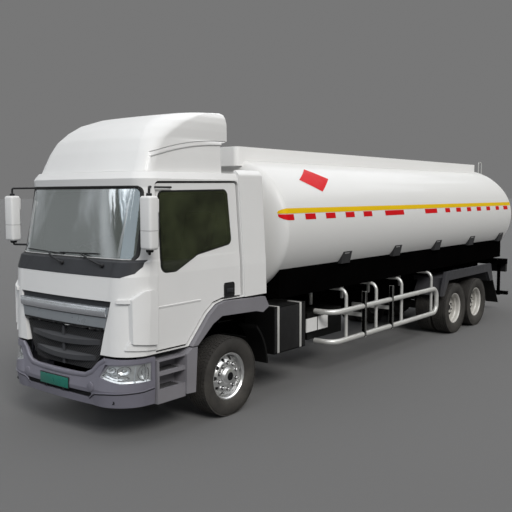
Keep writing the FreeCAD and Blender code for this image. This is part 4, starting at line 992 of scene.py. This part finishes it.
def plate():
    """Blank green number plate in its holder, bridging the air slot."""
    x0, x1, z0, z1 = -0.289, 0.236, 0.565, 0.685
    y = cad_box[0].y - 0.004
    holder = block((x0 - 0.010, y + 0.002, z0 - 0.010), (x1 + 0.010, y + 0.016, z1 + 0.010), 0.004)
    face = block((x0, y - 0.003, z0), (x1, y + 0.006, z1), 0.002)
    stays = joined([block((x, y + 0.006, z0 - 0.03), (x + 0.03, back(-1.70), z1), 0.002)
                    for x in (-0.2, 0.12)])
    add("plate_holder", *joined([holder, stays]), PLASTIC, "chassis", "black_plastic")
    add("number_plate", *face, GREEN, "chassis", "grey_paint")
    grid = [block((-0.59, back(-1.724), z - 0.003), (0.59, back(-1.716), z + 0.003), 0.001, 1)
            for z in (0.528, 0.545, 0.562)]
    # Painted shade: a black plate behind the bars fills the air slot's dark depth.
    grid.append(block((-0.60, back(-1.700), 0.505), (0.60, back(-1.690), 0.585), 0.002, 1))
    add("slot_grille_and_shade", *joined(grid), MESH_BLACK, "chassis", "black_plastic")


LAMP_LOW, LAMP_HIGH = ((0.724, 0.766), (1.000, 0.704)), ((0.794, 0.901), (1.300, 0.926))


def lamp_span(x):
    """Lowest and highest z of the headlamp's face at x across the truck."""
    (x0, z0), (x1, z1) = LAMP_LOW
    low = z0 + (z1 - z0) * min(1.0, max(0.0, (x - x0) / (x1 - x0)))
    (x2, z2), (x3, z3) = LAMP_HIGH
    high = z2 + (z3 - z2) * (x - x2) / (x3 - x2) if x > x2 else z0 + (z2 - z0) * (x - x0) / (x2 - x0)
    return low, max(low + 0.002, high)


# Reflector bowls, columns: share along the lamp, share up it, radius along and up, depth.
BOWLS = ((0.115, 0.66, 0.085, 0.22, 0.026), (0.305, 0.66, 0.085, 0.24, 0.026),
         (0.205, 0.27, 0.175, 0.15, 0.016), (0.585, 0.50, 0.105, 0.42, 0.044),
         (0.865, 0.42, 0.100, 0.30, 0.022))
# Shares along the lamp of the ridges between its compartments.
DIVIDERS = (0.445, 0.730)


def lamps():
    """Clear lens, moulded reflector and rings of each headlamp."""
    form = Form(BUMPER_SECTIONS)
    start = form.share_of(lambda p: p.x >= LAMP_LOW[0][0], 0.766)
    end = form.share_of(lambda p: p.y >= back(-1.296), 0.80)
    nu, nv = 150, 40

    def grid(lift_of):
        verts = []
        for i in range(nu + 1):
            share = start + (end - start) * i / nu
            low, high = lamp_span(form.at(share, 0.80).x)
            for j in range(nv + 1):
                z = low + (high - low) * j / nv
                verts.append(form.at(share, z, lift_of(i / nu, j / nv)))
        return verts, sheet_faces(nu, nv)

    def bed_depth(u, v):
        """Depth of the reflector: bowls with a ring and a bulb, ridges between compartments."""
        rim = min(1.0, min(u / 0.03, (1 - u) / 0.03, v / 0.10, (1 - v) / 0.10))
        depth = 0.012 + 0.016 * max(0.0, rim)
        for cu, cv, ru, rv, deep in BOWLS:
            d = math.hypot((u - cu) / ru, (v - cv) / rv)
            if d < 1.0:
                depth += deep * (1 - d * d) + 0.006 * math.exp(-((d - 0.9) / 0.05) ** 2)
                if d < 0.30:
                    depth -= (deep * 0.9) * (1 - (d / 0.30) ** 2)
        for cut_at in DIVIDERS:
            depth -= 0.018 * math.exp(-((u - cut_at) / 0.008) ** 2)
        return min(0.080, max(0.008, depth))

    lens = grid(lambda u, v: 0.004)
    bed = grid(bed_depth)
    dark_rows = []
    n = 36
    around = [[2 * k, 2 * k + 1, 2 * ((k + 1) % n) + 1, 2 * ((k + 1) % n)] for k in range(n)]
    for cu, cv, ru, rv, _ in BOWLS:
        for d0, d1 in ((0.93, 1.05), (0.30, 0.38)):
            ring = []
            for k in range(n):
                a = 2 * math.pi * k / n
                for d in (d0, d1):
                    u, v = cu + ru * d * math.cos(a), cv + rv * d * math.sin(a)
                    u, v = min(0.995, max(0.005, u)), min(0.98, max(0.02, v))
                    share = start + (end - start) * u
                    low, high = lamp_span(form.at(share, 0.80).x)
                    ring.append(form.at(share, low + (high - low) * v, bed_depth(u, v) - 0.0025))
            dark_rows.append((ring, around))
    edge = []
    for i in range(61):
        share = start + (end - start) * i / 60
        low, high = lamp_span(form.at(share, 0.80).x)
        edge.append((share, low, high))
    round_edge = [(s, low) for s, low, _ in edge] + [(s, high) for s, _, high in reversed(edge)]
    path = [(form.at(s, z, 0.004), form.normal(s, z)) for s, z in round_edge]
    rim = sweep(path, [(-0.004, -0.040), (-0.004, 0.001), (0.004, 0.001), (0.004, -0.040)], closed=True)
    for side, sign in SIDES:
        glass = add("lamp_glass_" + side, *sided(lens, sign), LENS, "chassis", "lamp_glass")
        add("lamp_bed_" + side, *sided(bed, sign), LAMP_BED, "chassis", "wheel_bright")
        add("lamp_rings_" + side, *sided(joined(dark_rows), sign), MESH_BLACK, "chassis", "black_plastic")
        add("lamp_rim_" + side, *sided(rim, sign), GREY, "chassis", "grey_paint")
        if sign > 0:
            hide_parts("headlamps")


TOW_X, TOW_Z, CAP_R = 0.600, 0.640, 0.055
HOLE_X, HOLE_Z = 0.905, 0.492
# Step line round the bumper's lower corner, from the front: share of the outline, z.
STEP_LINE = ((0.395, 0.505), (0.425, 0.545), (0.460, 0.575), (0.520, 0.594), (0.640, 0.604), (0.780, 0.612),
             (0.998, 0.625))
# Rim of the bumper's mouth, from the corner down to the middle: x, z.
MOUTH_LINE = ((0.830, 0.990), (0.690, 0.905), (0.600, 0.812), (0.500, 0.764), (0.300, 0.752), (0.0, 0.748))


def bumper_lines():
    """Rim of the mouth, step line of the lower corner, caps of the tow sockets and a hole, its depth a
    shallow black cup of painted shade.
    """
    skin = Skin("bumper")
    pts = densify(MOUTH_LINE + tuple((-x, z) for x, z in reversed(MOUTH_LINE[:-1])), 0.03, closed=False)
    path = [p for p in (skin.from_front(p[0], p[1]) for p in pts) if p]
    section = [(-0.036, -0.004), (-0.026, 0.008), (-0.004, 0.015), (0.014, 0.012), (0.026, -0.004)]
    add("mouth_rim", *sweep(path, section), GREY, "chassis", "grey_paint")
    form = Form(BUMPER_SECTIONS)
    steps = []
    for (s0, z0), (s1, z1) in zip(STEP_LINE, STEP_LINE[1:]):
        steps += [(s0 + (s1 - s0) * k / 8, z0 + (z1 - z0) * k / 8) for k in range(8)]
    line = [(form.at(s, z, 0.0), form.normal(s, z)) for s, z in steps]
    ledge_section = [(-0.014, -0.003), (-0.010, 0.001), (0.0, 0.009), (0.006, 0.009), (0.008, -0.003)]
    shadow_section = [(-0.019, -0.002), (-0.018, 0.0012), (-0.009, 0.0012), (-0.008, -0.002)]
    ledge, shadow = sweep(line, ledge_section), sweep(line, shadow_section)
    if ledge[0][2].z <= ledge[0][0].z:      # the sections came out upside down
        ledge, shadow = sweep(line, flipped(ledge_section)), sweep(line, flipped(shadow_section))
    cap_at = skin.from_front(TOW_X - CAP_R * 1.35, TOW_Z)[0]
    cap = lathe([(0.012, CAP_R), (0.002, CAP_R), (0.0, CAP_R - 0.004), (-0.001, 0.0015)],
                (TOW_X, cap_at.y, TOW_Z), axis="y", segments=32)
    # Painted shade: the hole is a shallow black cup that stands in for its dark depth.
    hit = skin.from_front(HOLE_X, HOLE_Z)
    hole = lathe([(0.004, 0.020), (-0.003, 0.019), (-0.003, 0.013), (0.002, 0.001)],
                 tuple(hit[0]), axis="y", segments=20)
    for side, sign in SIDES:
        add("bumper_step_" + side, *sided(ledge, sign), GREY, "chassis", "grey_paint")
        add("bumper_shadow_" + side, *sided(shadow, sign), MESH_BLACK, "chassis", "black_plastic")
        add("tow_cap_" + side, *sided(cap, sign), GREY, "chassis", "grey_paint")
        add("bumper_hole_shade_" + side, *sided(hole, sign), MESH_BLACK, "chassis", "black_plastic")


def door_crease():
    """Pressed line along each door, ending at the wheel arch."""
    skin = Skin("door_left")
    path = []
    for k in range(20):
        y = -1.210 + 0.73 * k / 19
        hit = skin.from_left(back(y), 1.520 + 0.006 * k / 19)
        if hit:
            path.append(hit)
    section = [(-0.024, -0.001), (-0.010, 0.005), (0.002, 0.0065), (0.008, 0.002), (0.010, -0.001)]
    part = sweep(path, section)
    if part[0][1].z > part[0][3].z:         # the section came out upside down
        part = sweep(path, flipped(section))
    for side, sign in SIDES:
        add("door_crease_" + side, *sided(part, sign), WHITE, "door_" + side, "white_paint")


# ---------------------------------------------------------------- side fittings
CABINET_Z = (0.600, 1.250)
POST_Y, POST_X, POST_Z = (3.350, 4.270), (1.130, 1.196), (0.470, 1.215)
TREAD_Z, TREAD_X, TREAD_Y = (0.585, 0.788), (1.000, 1.130), (-1.170, -0.870)
RAIL_Y, RAIL_Z = (9.905, 10.085), (3.270, 3.515)
# Lens cells of one tail lamp, columns: material, spans across the truck.
TAIL_CELLS = (("red", RED_LENS, ((0.712, 0.798), (0.806, 0.884))), ("amber", AMBER, ((0.892, 0.962),)),
              ("clear", SIGN, ((0.970, 1.038),)))


def build_sides():
    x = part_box("battery_box")[1].x
    low, high = CABINET_Z
    strips, panels = [], []
    for y in (1.040, 1.565):
        y0, y1 = back(y) - 0.020, back(y) + 0.020
        strips.append(block((x - 0.01, y0, low + 0.01), (x + 0.012, y1, high - 0.004), 0.006, 3))
        strips.append(block((x - 0.22, y0, high - 0.006), (x + 0.010, y1, high + 0.006), 0.004))
    for y0, y1 in ((0.965, 1.005), (1.075, 1.530), (1.600, 1.675)):
        panels.append(block((x - 0.004, back(y0), low + 0.02), (x + 0.005, back(y1), high - 0.02), 0.003))
    add("battery_box_straps", *joined(strips), TUBE, "chassis", "silver_tube")
    add("battery_box_panels", *joined(panels), PLASTIC, "chassis", "black_plastic")
    low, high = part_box("side_sign")
    mid = (low.y + high.y) / 2
    strap = block((high.x - 0.002, mid - 0.006, low.z - 0.03),
                  (high.x + 0.006, mid + 0.006, high.z + 0.01), 0.001)
    add("sign_strap", *strap, PLASTIC, "chassis", "black_plastic")
    sleeves = joined([block((POST_X[0], back(y) - 0.024, POST_Z[0]),
                            (POST_X[1], back(y) + 0.024, POST_Z[1]), 0.006) for y in POST_Y])
    add("guard_post_sleeves", *joined([sleeves, mirrored(sleeves)]), BLACK, "chassis", "black_plastic")
    tread_plates()


def tread_plates():
    """Grip bars on each entry step's treads."""
    bars = []
    for z in TREAD_Z:
        for k in range(5):
            x = TREAD_X[0] + (TREAD_X[1] - TREAD_X[0] - 0.012) * k / 4
            bars.append(block((x, back(TREAD_Y[0]), z - 0.001),
                              (x + 0.012, back(TREAD_Y[1]), z + 0.007), 0.002, 1))
    for side, sign in SIDES:
        add("step_grips_" + side, *sided(joined(bars), sign), BRACKET, "chassis", "grey_plastic")


def build_rear():
    """Lens cells on the tail lamps and the hand hoops at the walkway's end."""
    low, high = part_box("tail_lamps")
    y = high.y
    for name, mat, spans in TAIL_CELLS:
        cells = joined([block((a, y - 0.004, low.z + 0.012), (b, y + 0.008, high.z - 0.012), 0.004, 3)
                        for a, b in spans])
        add("tail_cells_" + name, *joined([cells, mirrored(cells)]), mat, "chassis", "tail_red")
    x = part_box("coaming")[1].x - 0.020
    (y0, y1), (z0, z1) = RAIL_Y, RAIL_Z
    hoop = tube([(x, back(y0), z0), (x, back(y0), z1 - 0.03), (x, back(y0) + 0.03, z1),
                 (x, back(y1) - 0.03, z1), (x, back(y1), z1 - 0.03), (x, back(y1), z0 - 0.08)], 0.011)
    add("hand_hoops", *joined([hoop, mirrored(hoop)]), TUBE, "chassis", "silver_tube")


# ---------------------------------------------------------------- manhole lids
LID_Y = (2.65, 5.55, 8.45)
LID_BOLTS, BOLT_PCD_R, LID_TOP_Z = 12, 0.255, 3.418


def build_lids():
    """Bolts and a grip on each manhole lid."""
    for i, behind in enumerate(LID_Y, 1):
        middle_y = back(behind)
        parts = []
        for k in range(LID_BOLTS):
            a = 2 * math.pi * (k + 0.5) / LID_BOLTS
            place = (BOLT_PCD_R * math.cos(a), middle_y + BOLT_PCD_R * math.sin(a), LID_TOP_Z)
            parts.append(lathe([(0.0, 0.0), (0.0, 0.016), (0.012, 0.016), (0.016, 0.009), (0.016, 0.0)],
                               place, axis="z", segments=6))
        grip = [(-0.05, 3.442), (-0.05, 3.462), (0.05, 3.462), (0.05, 3.442)]
        parts.append(tube([(x, middle_y - 0.05, z) for x, z in grip], 0.006))
        add("lid_bolts_%d" % i, *joined(parts), STEEL, "manhole_lid_%d" % i, "silver_tube")


# ---------------------------------------------------------------- soft parts
def cushion(low, high, crown=0.03, pull=0.02, channels=0):
    """Crowned pad with pulled-in sides and sewn channels, as vertices and faces."""
    low, high = Vector(low), Vector(high)
    size = high - low
    work = bmesh.new()
    bmesh.ops.create_cube(work, size=1.0)
    bmesh.ops.subdivide_edges(work, edges=list(work.edges), cuts=11, use_grid_fill=True)
    for v in work.verts:
        u, w, t = (c + 0.5 for c in v.co)
        bow = math.sin(math.pi * min(1, max(0, u))) * math.sin(math.pi * min(1, max(0, w)))
        edge_pull = pull * (1 - (2 * abs(t - 0.5)) ** 2)
        cx, cy = (0.5 - u), (0.5 - w)
        x = low.x + size.x * u + math.copysign(edge_pull * (abs(cx) > 0.49), cx) * (1 - bow)
        y = low.y + size.y * w + math.copysign(edge_pull * (abs(cy) > 0.49), cy) * (1 - bow)
        z = low.z + size.z * t
        rim = 1.0 - max(abs(2 * u - 1), abs(2 * w - 1)) ** 6
        if t > 0.99:
            z += -crown * (1 - bow) * 0.8 - 0.012 * (1 - rim)
            if channels:
                z -= 0.006 * math.exp(-((w * channels) % 1.0 - 0.5) ** 2 / 0.004)
        v.co = Vector((x, y, z))
    bmesh.ops.bevel(work, geom=[e for e in work.edges if len(e.link_faces) == 2 and
                                e.calc_face_angle() > 1.2], offset=0.016, segments=3, affect="EDGES")
    work.verts.index_update()
    out = [v.co.copy() for v in work.verts], [[v.index for v in f.verts] for f in work.faces]
    work.free()
    return out


def build_soft():
    """Padded seats on their bases and the bunk's mattress on its base."""
    z0 = 1.80
    lean = Matrix.Rotation(math.radians(-14), 3, "X")
    for x, name in ((0.56, "left"), (-0.56, "right")):
        pad = cushion((x - 0.24, back(-0.515), z0), (x + 0.24, back(-0.03), 1.925), channels=4)
        seat = add("seat_cushion_" + name, *pad, CLOTH, "cab", "seat_cloth", sharp_deg=80)
        verts, faces = cushion((x - 0.235, back(-0.02), -0.33), (x + 0.235, back(0.12), 0.33))
        middle_at = Vector((x, back(0.08), 2.24))
        turned = [middle_at + lean @ (v - Vector((x, back(0.05), 0.0))) for v in verts]
        rest = add("seat_back_" + name, turned, faces, CLOTH, "cab", "seat_cloth", sharp_deg=80)
        foot = block((x - 0.17, back(-0.43), 1.532), (x + 0.17, back(-0.09), 1.80), 0.02, 3)
        add("seat_base_" + name, *foot, PLASTIC, "cab", "black_plastic")
    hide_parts("seats")
    base = block((-1.02, back(0.285), 1.532), (1.02, back(0.598), 1.898), 0.012, 2)
    add("bunk_base", *base, PLASTIC, "cab", "black_plastic")
    mattress = cushion((-1.02, back(0.255), 1.90), (1.02, back(0.60), 2.005), crown=0.02)
    pad = add("bunk_mattress", *mattress, CLOTH, "cab", "seat_cloth", sharp_deg=80)
    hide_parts("bunk")


# ---------------------------------------------------------------- stage, light and camera
BACKDROP = 0.184
FLOOR_ALBEDO = 0.163
AMBIENT = 0.50
LENS_MM = 50.217
# Turn about the vertical, tilt down and roll, in degrees, and the place in metres.
CAMERA_ANGLES = (38.618, 4.944, -0.112)
CAMERA_X, CAMERA_Y, CAMERA_Z = 6.938, -6.688, 2.781


def stage():
    floor_mat = bpy.data.materials.new("studio_floor")
    floor_mat.use_nodes = True
    shader = floor_mat.node_tree.nodes["Principled BSDF"]
    where = floor_mat.node_tree.nodes.new("ShaderNodeTexCoord").outputs["Object"]
    tone = blend_colour(floor_mat.node_tree, noise(floor_mat.node_tree, where, 0.6, 3.0),
                        (FLOOR_ALBEDO * 0.99,) * 3, (FLOOR_ALBEDO * 1.01,) * 3)
    floor_mat.node_tree.links.new(tone, shader.inputs["Base Color"])
    shader.inputs["Roughness"].default_value = 0.9
    shader.inputs["Specular IOR Level"].default_value = 0.1
    size = 400.0
    data = bpy.data.meshes.new("floor")
    corners = [(-size, -size, 0), (size, -size, 0), (size, size, 0), (-size, size, 0)]
    data.from_pydata(corners, [], [(0, 1, 2, 3)])
    floor = bpy.data.objects.new("floor", data)
    data.materials.append(floor_mat)
    bpy.context.scene.collection.objects.link(floor)

    world = bpy.data.worlds.new("studio")
    bpy.context.scene.world = world
    world.use_nodes = True
    tree = world.node_tree
    tree.nodes.clear()
    out = tree.nodes.new("ShaderNodeOutputWorld")
    path = tree.nodes.new("ShaderNodeLightPath")
    lit, seen, mix = (tree.nodes.new("ShaderNodeBackground"), tree.nodes.new("ShaderNodeBackground"),
                      tree.nodes.new("ShaderNodeMixShader"))
    glossy, choose = tree.nodes.new("ShaderNodeBackground"), tree.nodes.new("ShaderNodeMixShader")
    ray = tree.nodes.new("ShaderNodeTexCoord").outputs["Generated"]
    split = tree.nodes.new("ShaderNodeSeparateXYZ")
    tree.links.new(ray, split.inputs[0])
    sky = blend_colour(tree, spread(tree, split.outputs["Z"], 0.0, 1.0, 0.0, 0.55), (0.40, 0.40, 0.40),
                       (1.0, 1.0, 1.02))
    tree.links.new(sky, lit.inputs["Color"])
    lit.inputs["Strength"].default_value = AMBIENT
    tree.links.new(mirrored_sky(tree, ray, split), glossy.inputs["Color"])
    glossy.inputs["Strength"].default_value = 1.0
    seen.inputs["Color"].default_value = (BACKDROP, BACKDROP, BACKDROP, 1)
    tree.links.new(path.outputs["Is Glossy Ray"], choose.inputs[0])
    tree.links.new(lit.outputs[0], choose.inputs[1])
    tree.links.new(glossy.outputs[0], choose.inputs[2])
    tree.links.new(path.outputs["Is Camera Ray"], mix.inputs[0])
    tree.links.new(choose.outputs[0], mix.inputs[1])
    tree.links.new(seen.outputs[0], mix.inputs[2])
    tree.links.new(mix.outputs[0], out.inputs[0])


def mirrored_sky(tree, ray, split):
    """Sky, soft cloud and a ragged tree line, seen only in shiny surfaces."""
    cloud = noise(tree, ray, 3.4, 5.0, 0.6)
    grey = blend_colour(tree, spread(tree, cloud, 0.0, 1.0, 0.40, 0.62), (0.24, 0.25, 0.24),
                        (0.72, 0.74, 0.76))
    bright = blend_colour(tree, spread(tree, cloud, 0.0, 1.0, 0.30, 0.55), (1.7, 1.75, 1.85),
                          (2.4, 2.45, 2.5))
    ahead = spread(tree, split.outputs["X"], 0.0, 1.0, -0.70, -0.64)
    sky = blend_colour(tree, ahead, grey, bright)
    stretch = tree.nodes.new("ShaderNodeMapping")
    stretch.inputs["Scale"].default_value = (1.0, 1.0, 0.10)
    tree.links.new(ray, stretch.inputs["Vector"])
    ragged = noise(tree, stretch.outputs[0], 22.0, 6.0, 0.7)
    height = maths(tree, "MULTIPLY_ADD", split.outputs["Z"], -2.2, ragged)
    lean = maths(tree, "MULTIPLY_ADD", split.outputs["X"], 0.45, height)
    leaves = maths(tree, "MULTIPLY", spread(tree, lean, 0.0, 1.0, -0.46, -0.41), ahead)
    dark = blend_colour(tree, spread(tree, split.outputs["Y"], 0.0, 1.0, -0.15, 0.10), (0.06, 0.07, 0.05),
                        (0.16, 0.17, 0.12))
    return blend_colour(tree, leaves, sky, dark)


def lamp(name, towards, strength, angle, tint):
    """Soft sun shining along a direction."""
    data = bpy.data.lights.new(name, "SUN")
    data.energy = strength
    data.angle = math.radians(angle)
    data.color = tint
    made = bpy.data.objects.new(name, data)
    made.rotation_euler = Vector(towards).to_track_quat("-Z", "Y").to_euler()
    bpy.context.scene.collection.objects.link(made)


def camera():
    data = bpy.data.cameras.new("camera")
    data.sensor_width = 36.0
    data.lens = LENS_MM
    made = bpy.data.objects.new("camera", data)
    turn, down, roll = (math.radians(a) for a in CAMERA_ANGLES)
    look = Vector((-math.sin(turn) * math.cos(down), math.cos(turn) * math.cos(down), -math.sin(down)))
    pose = look.to_track_quat("-Z", "Y").to_matrix().to_4x4() @ Matrix.Rotation(roll, 4, "Z")
    made.matrix_world = Matrix.Translation((CAMERA_X, back(CAMERA_Y), CAMERA_Z)) @ pose
    data.clip_end = 900.0
    bpy.context.scene.collection.objects.link(made)
    bpy.context.scene.camera = made


dress_nodes()
build_tank()
build_tyres()
build_hubs()
build_seals()
build_handles()
build_mirrors()
build_spoiler()
build_front()
build_sides()
build_rear()
build_lids()
build_soft()
stage()
lamp("key", (-0.68, 0.40, -0.66), 2.10, 24.0, (1.0, 0.985, 0.955))
lamp("fill", (0.15, 0.92, -0.45), 0.46, 60.0, (0.76, 0.88, 1.0))
lamp("top", (0.0, 0.1, -1.0), 0.12, 70.0, (1.0, 1.0, 1.0))
camera()
bpy.context.scene.view_settings.view_transform = "Standard"
